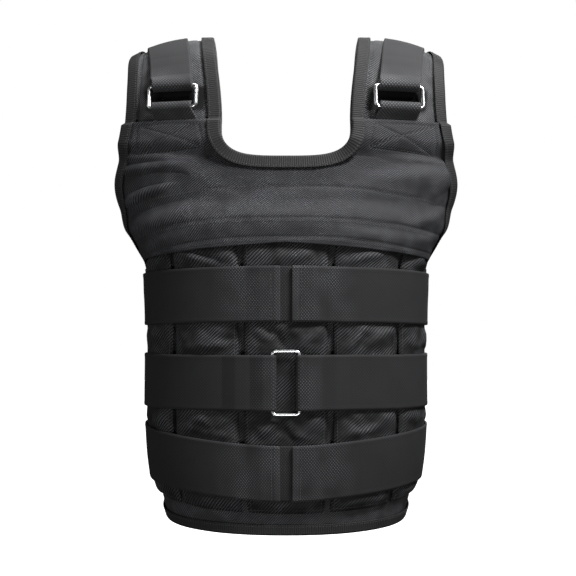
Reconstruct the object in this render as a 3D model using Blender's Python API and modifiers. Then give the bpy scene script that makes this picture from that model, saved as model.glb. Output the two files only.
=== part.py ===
"""A weighted vest in its worn form, held up at its two shoulder pads.

The cloth pieces lie in layers on one torso surface. A point of that surface is named by
    around  0 on the front's centre line, 1 at the side seam and 2 at the back's middle
    run     the way along the cloth, down from the top of the shoulder
and a layer stands off it by its lift. +X is to the right seen from the front, the front
faces -Y, +Z is up. The origin is midway between the undersides of the shoulder pads.
"""

import math

import bmesh
import bpy
import numpy as np
from mathutils import Matrix, Vector

for leftover in list(bpy.data.objects):
    bpy.data.objects.remove(leftover)

# Body, metres
BODY_DROP = 0.463
HALF_WIDTH = 0.1305
HALF_DEPTH = 0.096
ROUNDNESS = 2.6
STUB_DROP = 0.079
ARMHOLE_DROP = 0.2095
PAD_HALF_NECK = 0.0735
CROWN_DROOP = 0.0165
CROWN_DROOP_POWER = 2.4
HEM_RISE = 0.010

# Neck opening
NECK_DROP = 0.1145
NECK_HALF_WIDTH = 0.0625
BACK_NECK_HALF_WIDTH = 0.0720
NECK_SQUARENESS = 3.4

# Cloth, webbing and padding
PANEL_THICK = 0.0020
YOKE_THICK = 0.0018
POCKET_THICK = 0.0015
PAD_THICK = 0.0060
BINDING_THICK = 0.0010
STRAP_THICK = 0.0018
BELT_THICK = 0.0020
PATCH_THICK = 0.0012
LAYER_GAP = 0.0005
LINING_GAP = 0.0009
TAPE_GAP = 0.0014
TAPE_LINING_GAP = 0.0017
FLAP_GAP = 0.0018
SEAM_GAP = 0.0004

# Pockets
POCKET_DEPTH = 0.0058
POCKET_TOP_DROP = 0.184
POCKET_END_RISE = 0.022
YOKE_LEAD = 0.009
POCKET_HALF_CENTRE = 0.0370
POCKET_WIDE_CHANNEL = 0.0070
POCKET_MID_WIDTH = 0.0600
POCKET_THIN_CHANNEL = 0.0048
POCKET_SIDE_WIDTH = 0.0620
POCKET_EDGE = 0.0050
POCKET_SHOULDER = 0.35
POCKET_SHOULDER_RISE = 0.75
POCKET_END_DROP = 0.4430
POCKET_END_LIFT = 0.0200
POCKET_END_ROUND = 0.0100
POCKET_HIGH_DROP = 0.214
POCKET_HIGH_START = 0.55
POCKET_HIGH_END = 0.80
YOKE_FALL_START = 0.74
YOKE_FALL_END = 0.88
POCKET_ROWS = (1.0, 0.985, 0.96, 0.89, 0.78, 0.66, 0.54, 0.42, 0.30, 0.20, 0.12, 0.05, 0.0)

# Bindings
NECK_BINDING_WIDTH = 0.0105
ARMHOLE_BINDING_WIDTH = 0.0090
HEM_BINDING_WIDTH = 0.0085

# Shoulder straps and rings
STRAP_WIDTH = 0.038
STRAP_CENTRE = 0.1052
STRAP_TOP_CENTRE = 0.1185
STRAP_COLUMNS = (-0.5, -0.17, 0.17, 0.5)
STRAP_STEPS = 13
RING_STANDOFF = 0.0009
STRAP_PAD_GAP = 0.0010
STRAP_LOWER_TAIL = 0.0035
STRAP_TUCK = 0.018
PAD_TUCK = 0.018
STRAP_TAIL = 0.020
STRAP_END_CLEAR = 0.003
STRAP_SETTLE = 0.012
RING_DROP = 0.0562
RING_WIRE = 0.0030
RING_PLAY = 0.0008
RING_SIDE_PLAY = 0.0024
SHOULDER_RING_LENGTH = 0.0245
BELT_RING_WIDTH = 0.0280
RING_CORNER = 0.0035
RING_CORNER_STEPS = 4

# Belts
BELT_WIDTH = 0.050
BELT_TAIL = 0.030
BELT_SLOPE = 0.012
BELT_FALL_END = 1.2
BELT_CLEAR = 0.03
PATCH_WIDTH = 0.046
TOP_BELT_END = 0.0055
BOTTOM_BELT_END = 0.0060
TOP_BELT_DROP = 0.2415
TOP_BELT_DIP = -0.0030
MIDDLE_BELT_STEP = 0.0815
BOTTOM_BELT_STEP = 0.0830
MIDDLE_BELT_DROP = TOP_BELT_DROP + MIDDLE_BELT_STEP
BOTTOM_BELT_DROP = MIDDLE_BELT_DROP + BOTTOM_BELT_STEP
BOTTOM_BELT_DIP = 0.0150

# Torso sections from the crown of the shoulder to the hem, as shares of
# BODY_DROP, HALF_WIDTH and HALF_DEPTH: (down, wide, deep)
SECTIONS = (
    (-0.0216, 1.533, 0.000),
    (-0.0130, 1.525, 0.230),
    (0.0173, 1.502, 0.438),
    (0.0756, 1.456, 0.594),
    (0.1706, 1.395, 0.724),
    (0.2484, 1.368, 0.818),
    (0.2894, 1.346, 0.865),
    (0.3240, 1.287, 0.901),
    (0.3672, 1.184, 0.941),
    (0.3996, 1.103, 0.967),
    (0.4471, 1.031, 0.993),
    (0.5184, 1.008, 1.000),
    (0.6479, 1.000, 1.000),
    (0.7775, 1.000, 1.000),
    (0.8855, 0.969, 0.990),
    (0.9503, 0.923, 0.969),
    (1.0000, 0.874, 0.943),
    (1.0300, 0.852, 0.936),
)

# Rows below the armhole: share of the way from its bottom to the hem
SKIRT_ROWS = (1.0, 0.92, 0.77, 0.45, 0.25, 0.10)

# Rows beside the armhole and neck. centre: share of the way up the centre line to the
# neckline. corner: degrees round the neckline. edge: share of the way up the armhole.
# around: the armhole edge's place round the section. (centre, corner, edge, around)
CHEST_ROWS = (
    (0.00, 0, 0.000, 1.000),
    (0.15, 0, 0.025, 0.945),
    (0.33, 0, 0.090, 0.880),
    (0.52, 0, 0.190, 0.822),
    (0.76, 0, 0.320, 0.782),
    (1.00, 0, 0.470, 0.742),
    (1.00, 27, 0.610, 0.698),
    (1.00, 50, 0.740, 0.660),
    (1.00, 72, 0.870, 0.630),
    (1.00, 90, 1.000, 0.610),
)
YOKE_FIRST_ROW = 1
NECKLINE_ROW = 5

# Rows over the shoulder, from the stub to the crown. climb: share of the way up.
# outer: place of the pad's outer edge round the section. (climb, outer)
PAD_ROWS = (
    (0.00, 0.610),
    (0.18, 0.591),
    (0.36, 0.575),
    (0.54, 0.560),
    (0.72, 0.548),
    (0.87, 0.537),
    (1.00, 0.528),
)

# Places across the body sheets and the pads from the inner to the outer rail
BODY_COLUMNS = (0.0, 0.14, 0.28, 0.42, 0.54, 0.66, 0.78, 0.89, 1.0)
PAD_COLUMNS = (0.0, 0.2, 0.4, 0.6, 0.8, 1.0)
ROUND_PLACES = sorted([*BODY_COLUMNS,
                       *((a + b) / 2 for a, b in zip(BODY_COLUMNS, BODY_COLUMNS[1:]))])

# Folds of the yoke: place round the section, share of BODY_DROP, slant in degrees, and
# half length, half width and height in shares of HALF_WIDTH
# (around, down, slant, length, width, height)
YOKE_FOLDS = (
    (0.50, 0.315, 12, 0.28, 0.060, 0.020),
    (0.58, 0.350, 22, 0.26, 0.055, 0.022),
    (0.66, 0.375, 35, 0.22, 0.055, 0.022),
    (0.20, 0.330, -60, 0.16, 0.070, 0.012),
    (0.60, 0.270, 6, 0.16, 0.045, 0.018),
)

YOKE_FOLD_END = 0.72

# Dents of the pockets, as the folds above but for their depth, a share of POCKET_DEPTH
# (around, down, slant, length, width, depth)
POCKET_DENTS = (
    (0.10, 0.640, 8, 0.25, 0.10, 0.36),
    (0.42, 0.470, -18, 0.24, 0.08, 0.40),
    (0.46, 0.645, -12, 0.24, 0.09, 0.40),
    (0.40, 0.815, 14, 0.26, 0.09, 0.40),
    (0.08, 0.820, -10, 0.22, 0.08, 0.32),
    (0.72, 0.655, 24, 0.20, 0.09, 0.40),
    (0.72, 0.480, -20, 0.18, 0.08, 0.32),
)

CLOTH = ((0.028, 0.029, 0.031), 0.75, 0.0)
PAD_CLOTH = ((0.045, 0.046, 0.048), 0.70, 0.0)
TAPE = ((0.018, 0.018, 0.019), 0.85, 0.0)
WEBBING = ((0.022, 0.022, 0.023), 0.80, 0.0)
CHROME = ((0.78, 0.79, 0.80), 0.12, 1.0)

# Steps to a point's neighbours on the surface, as a place and as a run
NEAR = 0.012
NEAR_RUN = 0.002

parts = bpy.data.collections.new("weighted_vest")
bpy.context.scene.collection.children.link(parts)


def smooth(places, values, place):
    """Read a table as one smooth curve, with a level start and end where it is mirrored."""
    slopes = np.gradient(values, places)
    index = int(np.clip(np.searchsorted(places, place) - 1, 0, len(places) - 2))
    step = places[index + 1] - places[index]
    t = (place - places[index]) / step
    return ((1 + 2 * t) * (1 - t) ** 2 * values[index] + t * (1 - t) ** 2 * step * slopes[index]
            + t * t * (3 - 2 * t) * values[index + 1] + t * t * (t - 1) * step * slopes[index + 1])


class Torso:
    """The surface that the cloth lies on, with its heights measured along the cloth."""

    def __init__(self):
        down, wide, deep = (np.array(column) for column in zip(*SECTIONS))
        heights = np.concatenate([-down[1:2], -down]) * BODY_DROP
        depths = np.concatenate([-deep[1:2], deep]) * HALF_DEPTH
        widths = np.concatenate([wide[1:2], wide]) * HALF_WIDTH
        run = np.concatenate([[0], np.cumsum(np.hypot(np.diff(heights), np.diff(depths)))])
        run -= run[1]
        self.run = np.linspace(0, run[-1], 400)
        self.height = np.array([smooth(run, heights, place) for place in self.run])
        self.depth = np.array([smooth(run, depths, place) for place in self.run])
        self.width = np.array([smooth(run, widths, place) for place in self.run])
        turn = np.linspace(0, math.pi / 2, 2001)
        self.across = np.sin(turn) ** (2 / ROUNDNESS)
        self.forward = np.cos(turn) ** (2 / ROUNDNESS)
        arc = np.hypot(np.diff(HALF_WIDTH * self.across), np.diff(HALF_DEPTH * self.forward))
        arc = np.concatenate([[0], np.cumsum(arc)])
        self.quarter = arc[-1]
        self.around = arc / arc[-1]

    def run_at(self, drop):
        """Run along the cloth to a height below the origin."""
        return float(np.interp(drop, -self.height, self.run))

    def around_at(self, x, run):
        """Place round the section of a distance from the centre line."""
        return float(np.interp(x / np.interp(run, self.run, self.width), self.across, self.around))

    def bare_point(self, around, run):
        """Point of the surface on the right of the front. around past 1 is the back."""
        folded = 2 - around if around > 1 else around
        x = np.interp(run, self.run, self.width) * np.interp(folded, self.around, self.across)
        y = np.interp(run, self.run, self.depth) * np.interp(folded, self.around, self.forward)
        z = np.interp(run, self.run, self.height)
        span = max(0.0, (x - PAD_HALF_NECK) / PAD_HALF_NECK)
        fade = max(0.0, 1 - run / self.run_at(STUB_DROP))
        z -= CROWN_DROOP * span ** CROWN_DROOP_POWER * math.sin(fade * math.pi / 2) ** 2
        return Vector((x, y if around > 1 else -y, z))

    def normal(self, around, run):
        """Direction straight out of the cloth."""
        first = min(max(around, NEAR), 2 - NEAR)
        side = self.bare_point(first + NEAR, run) - self.bare_point(first - NEAR, run)
        if around < NEAR or around > 2 - NEAR:
            side = Vector((1 if around < 1 else -1, 0, 0))
        lower = self.bare_point(around, run + NEAR_RUN)
        upper = self.bare_point(around, max(run - NEAR_RUN, 0.0))
        if run < NEAR_RUN:
            mirrored = self.bare_point(around, NEAR_RUN)
            upper = Vector((mirrored.x, -mirrored.y, mirrored.z))
        return (upper - lower).cross(side).normalized() * -1

    def point(self, around, run, lift):
        """Point of a layer that stands off the surface by its lift."""
        return self.bare_point(around, run) + self.normal(around, run) * lift


torso = Torso()


def material(name, look):
    """Principled material with one colour, roughness and metallic value."""
    colour, roughness, metallic = look
    made = bpy.data.materials.new(name)
    made.use_nodes = True
    shader = made.node_tree.nodes["Principled BSDF"]
    shader.inputs["Base Color"].default_value = (*colour, 1)
    shader.inputs["Roughness"].default_value = roughness
    shader.inputs["Metallic"].default_value = metallic
    return made


def finish(name, mesh, look):
    """Link a mesh as a named piece with its own material."""
    mesh.name = name
    mesh.materials.append(material(name, look))
    made = bpy.data.objects.new(name, mesh)
    parts.objects.link(made)
    return made


def sheet(name, rows, thick, look, closed=False, mirrored=False):
    """Cloth of one thickness on rows of points, laid on a grid primitive.

    The faces look out where a row runs to the wearer's left and the next row lies above.
    """
    count = len(rows)
    across = len(rows[0])
    bm = bmesh.new()
    bmesh.ops.create_grid(bm, x_segments=across - 1, y_segments=count - 1, size=0.5)
    for vert in bm.verts:
        column = round((vert.co.x + 0.5) * (across - 1))
        row = round((vert.co.y + 0.5) * (count - 1))
        vert.co = rows[row][column]
    if closed:
        bmesh.ops.remove_doubles(bm, verts=bm.verts, dist=1e-6)
    mesh = bpy.data.meshes.new(name)
    bm.to_mesh(mesh)
    bm.free()
    made = finish(name, mesh, look)
    if mirrored:
        mirror = made.modifiers.new("mirror", "MIRROR")
        mirror.merge_threshold = 0.0001
    wall = made.modifiers.new("wall", "SOLIDIFY")
    wall.thickness = thick
    wall.offset = 1
    wall.use_even_offset = True
    return made


def flipped(rows):
    """The same sheet on the left half: mirrored in X with its rows turned about."""
    return [[Vector((-p.x, p.y, p.z)) for p in reversed(row)] for row in rows]


def turned(rows):
    """The same sheet with its faces looking the other way."""
    return [list(reversed(row)) for row in rows]


def bump(around, drop, folds):
    """Height of a table of folds at a place, on the unrolled cloth, in its own shares."""
    total = 0.0
    for fold_around, fold_down, slant, length, width, height in folds:
        u = (around - fold_around) * torso.quarter
        v = drop - fold_down * BODY_DROP
        angle = math.radians(slant)
        along = (u * math.cos(angle) + v * math.sin(angle)) / (length * HALF_WIDTH)
        beside = (v * math.cos(angle) - u * math.sin(angle)) / (width * HALF_WIDTH)
        total += height * math.exp(-along ** 2 - beside ** 2)
    return total


def ease(value, start, end):
    """0 before the start, 1 past the end and a smooth rise between them."""
    t = min(max((value - start) / (end - start), 0.0), 1.0)
    return t * t * (3 - 2 * t)


def neck_half_width(back):
    """Half width of the neck opening at the stubs."""
    return BACK_NECK_HALF_WIDTH if back else NECK_HALF_WIDTH


def body_rails(back):
    """Rows of the body from the hem to the stubs: inner and outer (around, run)."""
    rails = []
    for share in SKIRT_ROWS:
        run = torso.run_at(ARMHOLE_DROP + share * (BODY_DROP - ARMHOLE_DROP))
        rails.append(((0.0, run), (1.0, run)))
    for centre, corner, edge, around in CHEST_ROWS:
        turn = math.radians(corner)
        x = neck_half_width(back) * math.sin(turn) ** (2 / NECK_SQUARENESS)
        rise = 1 - max(math.cos(turn), 0.0) ** (2 / NECK_SQUARENESS)
        drop = ARMHOLE_DROP - centre * (ARMHOLE_DROP - NECK_DROP) - rise * (NECK_DROP - STUB_DROP)
        run = torso.run_at(drop)
        outer_run = torso.run_at(ARMHOLE_DROP - edge * (ARMHOLE_DROP - STUB_DROP))
        rails.append(((torso.around_at(x, run), run), (around, outer_run)))
    return rails


def pad_rails(back):
    """Rows of one pad from the stub to the crown: inner and outer (around, run)."""
    rails = []
    for climb, outer in PAD_ROWS:
        run = torso.run_at(STUB_DROP) * (1 - climb)
        x = neck_half_width(back) + ease(climb, 0, 1) * (PAD_HALF_NECK - neck_half_width(back))
        rails.append(((torso.around_at(x, run), run), (outer, run)))
    return rails


def between(row, share):
    """Place between the rails of a row."""
    (inner, inner_run), (outer, outer_run) = row
    return inner + share * (outer - inner), inner_run + share * (outer_run - inner_run)


def seat(place, back, lift):
    """Point of a layer at a place of the front or the back."""
    around, run = place
    return torso.point(2 - around if back else around, run, lift)


def yoke_lift(around, run):
    """Inner face of the yoke: over the strap on the pads, the panel, then the pockets.

    Beside the pockets and on the back it stays down on the panel.
    """
    on_panel = PANEL_THICK + LAYER_GAP
    on_pad = PAD_THICK + STRAP_THICK + 4 * LAYER_GAP
    over_pockets = PANEL_THICK + POCKET_DEPTH + FLAP_GAP
    pad_end = torso.run_at(STUB_DROP) + PAD_TUCK
    pocket_top = torso.run_at(POCKET_TOP_DROP) - YOKE_LEAD
    lift = on_pad + ease(run, pad_end, pad_end + PAD_TUCK) * (on_panel - on_pad)
    over = ease(run, pocket_top - POCKET_END_RISE, pocket_top)
    over *= 1 - ease(around, YOKE_FALL_START, YOKE_FALL_END)
    return lift + over * (over_pockets - on_panel)


def hem_rise(around):
    """How far the hem lies above its lowest point, which is in the middle."""
    return HEM_RISE * min(around, 2 - around) ** 2


def build_panel(name, back):
    """The sheet that goes round half the torso, from the hem up to the pads."""
    top_run = torso.run_at(STUB_DROP) + PAD_TUCK + LAYER_GAP
    rows = []
    for index, row in enumerate(body_rails(back)[:-1]):
        low = SKIRT_ROWS[index] if index < len(SKIRT_ROWS) else 0.0
        places = [between(row, share) for share in BODY_COLUMNS]
        places = [(around, run - low * hem_rise(around)) for around, run in places]
        last = 1 - SEAM_GAP / torso.quarter
        rows.append([seat((min(around, last), max(run, top_run)), back, 0.0)
                     for around, run in places])
    return sheet(name, turned(rows) if back else rows, PANEL_THICK, CLOTH, mirrored=True)


def build_yoke(name, back):
    """The outer sheet of the chest or the upper back, its hem over the pockets' tops."""
    rows = []
    for row in body_rails(back)[len(SKIRT_ROWS) + YOKE_FIRST_ROW:]:
        points = []
        for share in BODY_COLUMNS:
            around, run = between(row, share)
            drop = -float(np.interp(run, torso.run, torso.height))
            inside = 1 - ease(share, YOKE_FOLD_END, BODY_COLUMNS[-2])
            folds = 0.0 if back else bump(around, drop, YOKE_FOLDS) * HALF_WIDTH * inside
            lift = yoke_lift(2 - around if back else around, run)
            points.append(seat((around, run), back, lift + folds))
        rows.append(points)
    return sheet(name, turned(rows) if back else rows, YOKE_THICK, CLOTH, mirrored=True)


def build_pad(name, left):
    """A padded strip from under the front yoke over the shoulder to under the back yoke."""
    stub = torso.run_at(STUB_DROP)
    rows = []
    for back in (False, True):
        rails = pad_rails(back)
        (inner, _), (outer, _) = rails[0]
        below = body_rails(back)[-2]
        tuck = PAD_TUCK / (below[0][1] - stub)
        end_inner = inner + tuck * (below[0][0] - inner)
        tuck = PAD_TUCK / (below[1][1] - stub)
        end_outer = outer + tuck * (below[1][0] - outer)
        end = ((end_inner, stub + PAD_TUCK), (end_outer, stub + PAD_TUCK))
        side = [[seat(between(row, share), back, 0.0) for share in PAD_COLUMNS]
                for row in [end, *rails]]
        rows += reversed(side[:-1]) if back else side
    return sheet(name, flipped(rows) if left else rows, PAD_THICK, PAD_CLOTH)


def shifted(place, step):
    """Place reached from another by a step along the cloth."""
    around, run = place
    small = -NEAR if around > 1 else NEAR
    here = torso.bare_point(around, run)
    by_around = (torso.bare_point(around + small, run) - here) / small
    by_run = (torso.bare_point(around, run + NEAR_RUN) - here) / NEAR_RUN
    grid = np.array([[by_around.dot(by_around), by_around.dot(by_run)],
                     [by_around.dot(by_run), by_run.dot(by_run)]])
    change = np.linalg.solve(grid, [by_around.dot(step), by_run.dot(step)])
    return around + change[0], run + change[1]


def binding_rows(stations, width, side, closed, half):
    """Tape folded over a cloth edge: outer leg, lip and inner leg at each (place, cover).

    The cover gives the lift of the tape's outer leg at a place.
    The side is 1 where the cloth lies to the right of the way along the stations.
    """
    rail = [torso.bare_point(*place) for place, _ in stations]
    rows = []
    for index, (place, cover) in enumerate(stations):
        before = rail[index - 1]
        after = rail[(index + 1) % len(rail)]
        if half and index == 0:
            before = Vector((-after.x, after.y, after.z))
        if half and index == len(rail) - 1:
            after = Vector((-before.x, before.y, before.z))
        inward = (after - before).cross(torso.normal(*place)).normalized() * side
        leg = shifted(place, inward * width)
        lip = shifted(place, inward * -LAYER_GAP)
        if half and index in (0, len(rail) - 1):
            leg = (place[0], leg[1])
            lip = (place[0], lip[1])
        top = cover(place)
        rows.append([torso.point(*leg, max(top, cover(leg))), torso.point(*lip, top),
                     torso.point(*lip, -TAPE_LINING_GAP), torso.point(*leg, -TAPE_LINING_GAP)])
    if closed:
        rows.append(rows[0])
    return turned(rows) if side == 1 else rows


def panel_cover(place):
    """Lift of tape that lies on a panel."""
    return PANEL_THICK + TAPE_GAP


def pad_cover(place):
    """Lift of tape that lies on a pad."""
    return PAD_THICK + TAPE_GAP


def yoke_cover(place):
    """Lift of the tape's outer leg: over the yoke, then on the panel under the arm."""
    on_yoke = yoke_lift(*place) + YOKE_THICK + TAPE_GAP
    around = min(place[0], 2 - place[0])
    yoke_end = CHEST_ROWS[YOKE_FIRST_ROW][3]
    return on_yoke + ease(around, yoke_end, 1.0) * (panel_cover(place) - on_yoke)


def edge_stations(inner):
    """Places and covers along one rail, up the front, over the pad and down the back."""
    rail = 0 if inner else 1
    first = NECKLINE_ROW if inner else 0
    stations = []
    for back in (False, True):
        body = [row[rail] for row in body_rails(back)[len(SKIRT_ROWS) + first:]]
        pad = [row[rail] for row in pad_rails(back)[1:]]
        side = [(place, yoke_cover) for place in body]
        side += [(place, pad_cover) for place in pad]
        if back:
            side = [((2 - around, run), cover) for (around, run), cover in reversed(side[:-1])]
        stations += side
    return stations


def build_bindings():
    """Ribbed tape round the neck, the armholes and the hem."""
    rows = binding_rows(edge_stations(True), NECK_BINDING_WIDTH, 1, closed=False, half=True)
    sheet("neck_binding", rows, BINDING_THICK, TAPE, mirrored=True)
    rows = binding_rows(edge_stations(False)[:-1], ARMHOLE_BINDING_WIDTH, -1, closed=True,
                        half=False)
    sheet("armhole_binding_right", rows, BINDING_THICK, TAPE, closed=True)
    sheet("armhole_binding_left", flipped(rows), BINDING_THICK, TAPE, closed=True)
    hem_run = torso.run_at(BODY_DROP)
    places = [*BODY_COLUMNS, *(2 - place for place in reversed(BODY_COLUMNS[:-1]))]
    stations = [((place, hem_run - hem_rise(place)), panel_cover) for place in places]
    rows = binding_rows(stations, HEM_BINDING_WIDTH, -1, closed=False, half=True)
    sheet("hem_binding", rows, BINDING_THICK, TAPE, mirrored=True)


def build_pocket(name, start, end, left):
    """One pouch: a wall that stands off the panel, closed below and open under the yoke."""
    start_at, end_at = start / torso.quarter, end / torso.quarter
    edge_at = POCKET_EDGE / torso.quarter
    halved = start == 0
    first, last = start_at + (0 if halved else edge_at), end_at - edge_at
    inside = [place for place in ROUND_PLACES if first + edge_at < place < last - edge_at]
    columns = [(place, 1.0) for place in (first, *inside, last)]
    shoulder = edge_at * POCKET_SHOULDER
    columns.append((end_at - shoulder, POCKET_SHOULDER_RISE))
    columns.append((end_at, 0.0))
    if not halved:
        columns = [(start_at, 0.0), (start_at + shoulder, POCKET_SHOULDER_RISE), *columns]
    foot = PANEL_THICK + LINING_GAP
    rise = POCKET_DEPTH - POCKET_THICK - LINING_GAP
    rows = []
    for share in POCKET_ROWS:
        points = []
        for around, full in columns:
            under_arm = ease(around, POCKET_HIGH_START, POCKET_HIGH_END)
            first_drop = POCKET_TOP_DROP + under_arm * (POCKET_HIGH_DROP - POCKET_TOP_DROP)
            first_run = torso.run_at(first_drop)
            last_drop = POCKET_END_DROP - POCKET_END_LIFT * around ** 2
            last_run = torso.run_at(last_drop)
            run = first_run + share * (last_run - first_run)
            closing = ease(last_run - run, 0.0, POCKET_END_ROUND) ** 0.5
            drop = -float(np.interp(run, torso.run, torso.height))
            stand = rise - bump(around, drop, POCKET_DENTS) * POCKET_DEPTH
            points.append(torso.point(around, run, foot + stand * full * closing))
        rows.append(points)
    return sheet(name, flipped(rows) if left else rows, POCKET_THICK, CLOTH, mirrored=halved)


def build_pockets():
    """Five columns: one in the middle and two on each side."""
    build_pocket("pocket_centre", 0, POCKET_HALF_CENTRE, False)
    mid = POCKET_HALF_CENTRE + POCKET_WIDE_CHANNEL
    side = mid + POCKET_MID_WIDTH + POCKET_THIN_CHANNEL
    for hand, left in (("right", False), ("left", True)):
        build_pocket("pocket_mid_" + hand, mid, mid + POCKET_MID_WIDTH, left)
        build_pocket("pocket_side_" + hand, side, side + POCKET_SIDE_WIDTH, left)


def on_pockets():
    """Lift of what lies on the pockets."""
    return PANEL_THICK + POCKET_DEPTH + LAYER_GAP


def belt_drop(around, centre, dip):
    """Height of a belt's middle line, which may sag towards the front."""
    return centre - dip * ease(min(around, 1.0), 0.0, 1.0)


def belt_to_back(start):
    """Places and lifts of a belt from past its end on the front to the back's middle."""
    low = PANEL_THICK + LINING_GAP
    places = [place for place in ROUND_PLACES if place > start + BELT_CLEAR]
    places += [2 - place for place in reversed(BODY_COLUMNS[1:-1])]
    path = []
    for place in places:
        fall = ease(place, 1.0, BELT_FALL_END)
        path.append((place, on_pockets() + fall * (low - on_pockets())))
    path.append((2 - SEAM_GAP / torso.quarter, low))
    return path


def build_belt(name, path, centre, dip, left, sides=(0.5, -0.5)):
    """A belt on a path of (around, lift), thick on the side away from what it holds."""
    rows = []
    for side in sides:
        points = []
        for around, lift in path:
            run = torso.run_at(belt_drop(around, centre, dip)) + side * BELT_WIDTH
            points.append(torso.point(around, run, lift))
        rows.append(points)
    return sheet(name, flipped(rows) if left else rows, BELT_THICK, WEBBING)


def plain_end(end):
    """Path of a belt that ends flat on its patch."""
    over = on_pockets() + PATCH_THICK + LAYER_GAP
    patch_edge = PATCH_WIDTH / 2 + LAYER_GAP
    path = [(end / torso.quarter, over), (patch_edge / torso.quarter, over)]
    path.append(((patch_edge + BELT_SLOPE) / torso.quarter, on_pockets()))
    return path + belt_to_back(path[-1][0])


def hairpin(bar, low, high, reach):
    """Half turn round one bar, or two that lie one on the other, towards smaller places."""
    path = []
    for angle in (-90, -60, -30, 0):
        turn = math.radians(angle)
        path.append((bar - reach * math.cos(turn), low + reach * math.sin(turn)))
    for angle in (0, 30, 60, 90) if high > low else (30, 60, 90):
        turn = math.radians(angle)
        path.append((bar - reach * math.cos(turn), high + reach * math.sin(turn)))
    return path


def ring_end():
    """Path of a belt folded back round the ring's side bar, its tail behind."""
    bar = BELT_RING_WIDTH / 2 - RING_WIRE / 2
    tail_lift = on_pockets() + BELT_THICK
    bar_lift = tail_lift + LAYER_GAP + RING_WIRE / 2
    reach = RING_WIRE / 2 + LAYER_GAP
    path = [(bar + BELT_TAIL, tail_lift), (bar + BELT_TAIL / 2, tail_lift)]
    path += hairpin(bar, bar_lift, bar_lift, reach)
    slope_start = bar + BELT_TAIL / 4
    path.append((slope_start, bar_lift + reach))
    path.append((slope_start + BELT_SLOPE, tail_lift + LAYER_GAP))
    path.append((bar + BELT_TAIL + BELT_THICK, tail_lift + LAYER_GAP))
    path.append((bar + BELT_TAIL + BELT_THICK + BELT_SLOPE, on_pockets()))
    path = [(x / torso.quarter, lift) for x, lift in path]
    return path + belt_to_back(path[-1][0])


def build_patch(name, drop):
    """Loop patch between the ends of a belt."""
    middle = torso.run_at(drop)
    places = np.linspace(0, PATCH_WIDTH / 2 / torso.quarter, 3)
    rows = []
    for side in (0.5, 0.0, -0.5):
        run = middle + side * BELT_WIDTH
        rows.append([torso.point(place, run, on_pockets()) for place in places])
    return sheet(name, rows, PATCH_THICK, WEBBING, mirrored=True)


def build_ring(name, width, length, frame):
    """Wire ring with round corners, in the plane of its frame's first two axes."""
    outline = bpy.data.curves.new(name, "CURVE")
    outline.dimensions = "3D"
    outline.bevel_depth = RING_WIRE / 2
    outline.bevel_resolution = 2
    outline.use_fill_caps = True
    points = []
    half_width = (width - RING_WIRE) / 2 - RING_CORNER
    half_length = (length - RING_WIRE) / 2 - RING_CORNER
    for corner in range(4):
        side_x = 1 if corner in (0, 3) else -1
        side_y = 1 if corner in (0, 1) else -1
        for step in range(RING_CORNER_STEPS):
            turn = math.radians(90 * (corner + step / (RING_CORNER_STEPS - 1)))
            points.append((side_x * half_width + RING_CORNER * math.cos(turn),
                           side_y * half_length + RING_CORNER * math.sin(turn), 0))
    spline = outline.splines.new("POLY")
    spline.points.add(len(points) - 1)
    for point, place in zip(spline.points, points):
        point.co = (*place, 1)
    spline.use_cyclic_u = True
    outline.materials.append(material(name, CHROME))
    made = bpy.data.objects.new(name, outline)
    made.matrix_world = frame
    parts.objects.link(made)
    return made


def frame_at(point, across, out):
    """Place with its X across, its Y up the cloth and its Z out of it."""
    across = (across - out * across.dot(out)).normalized()
    up = out.cross(across)
    return Matrix.Translation(point) @ Matrix((across, up, out)).transposed().to_4x4()


def strap_frame(left):
    """Middle of the shoulder rings on the pad's underside, with its axes."""
    run = torso.run_at(RING_DROP)
    around = torso.around_at(STRAP_CENTRE, run)
    point = torso.bare_point(around, run)
    out = torso.normal(around, run)
    across = torso.bare_point(around + NEAR, run) - torso.bare_point(around - NEAR, run)
    frame = frame_at(point + out * RING_STANDOFF, across, out)
    if left:
        mirror = Matrix.Scale(-1, 4, (1, 0, 0))
        frame = mirror @ frame @ mirror
    return frame


def ring_lifts():
    """Lifts of the bars of the lower and the upper of two stacked rings."""
    low = PAD_THICK + STRAP_THICK + 2 * LAYER_GAP + RING_WIRE / 2
    return low, low + RING_WIRE + LAYER_GAP


def build_rings():
    """Two stacked rings on each shoulder and the tall ring of the middle belt."""
    width = STRAP_WIDTH + 2 * RING_WIRE + 2 * RING_SIDE_PLAY
    for hand, left in (("right", False), ("left", True)):
        frame = strap_frame(left)
        for level, lift, play in zip(("under", "over"), ring_lifts(), (RING_PLAY, -RING_PLAY)):
            place = Matrix.Translation((0, play, lift))
            build_ring(f"shoulder_ring_{level}_{hand}", width, SHOULDER_RING_LENGTH, frame @ place)
    length = BELT_WIDTH + 2 * RING_WIRE + 2 * RING_SIDE_PLAY
    run = torso.run_at(MIDDLE_BELT_DROP)
    lift = on_pockets() + BELT_THICK + LAYER_GAP + RING_WIRE / 2
    frame = frame_at(torso.point(0.0, run, lift), Vector((1, 0, 0)), torso.normal(0.0, run))
    build_ring("middle_ring", BELT_RING_WIDTH, length, frame)


def strap_row(run, lift):
    """Points across a strap on the pad, at a signed run that is positive on the back."""
    back = run > 0
    run = abs(run)
    slant = STRAP_TOP_CENTRE - STRAP_CENTRE
    centre = STRAP_TOP_CENTRE - slant * run / torso.run_at(RING_DROP)
    around = torso.around_at(centre, run)
    near = torso.bare_point(around + NEAR, run) - torso.bare_point(around - NEAR, run)
    per_metre = 2 * NEAR / near.length
    points = []
    for side in STRAP_COLUMNS:
        place = around + side * STRAP_WIDTH * per_metre
        points.append(torso.point(2 - place if back else place, run, lift))
    return points


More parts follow.
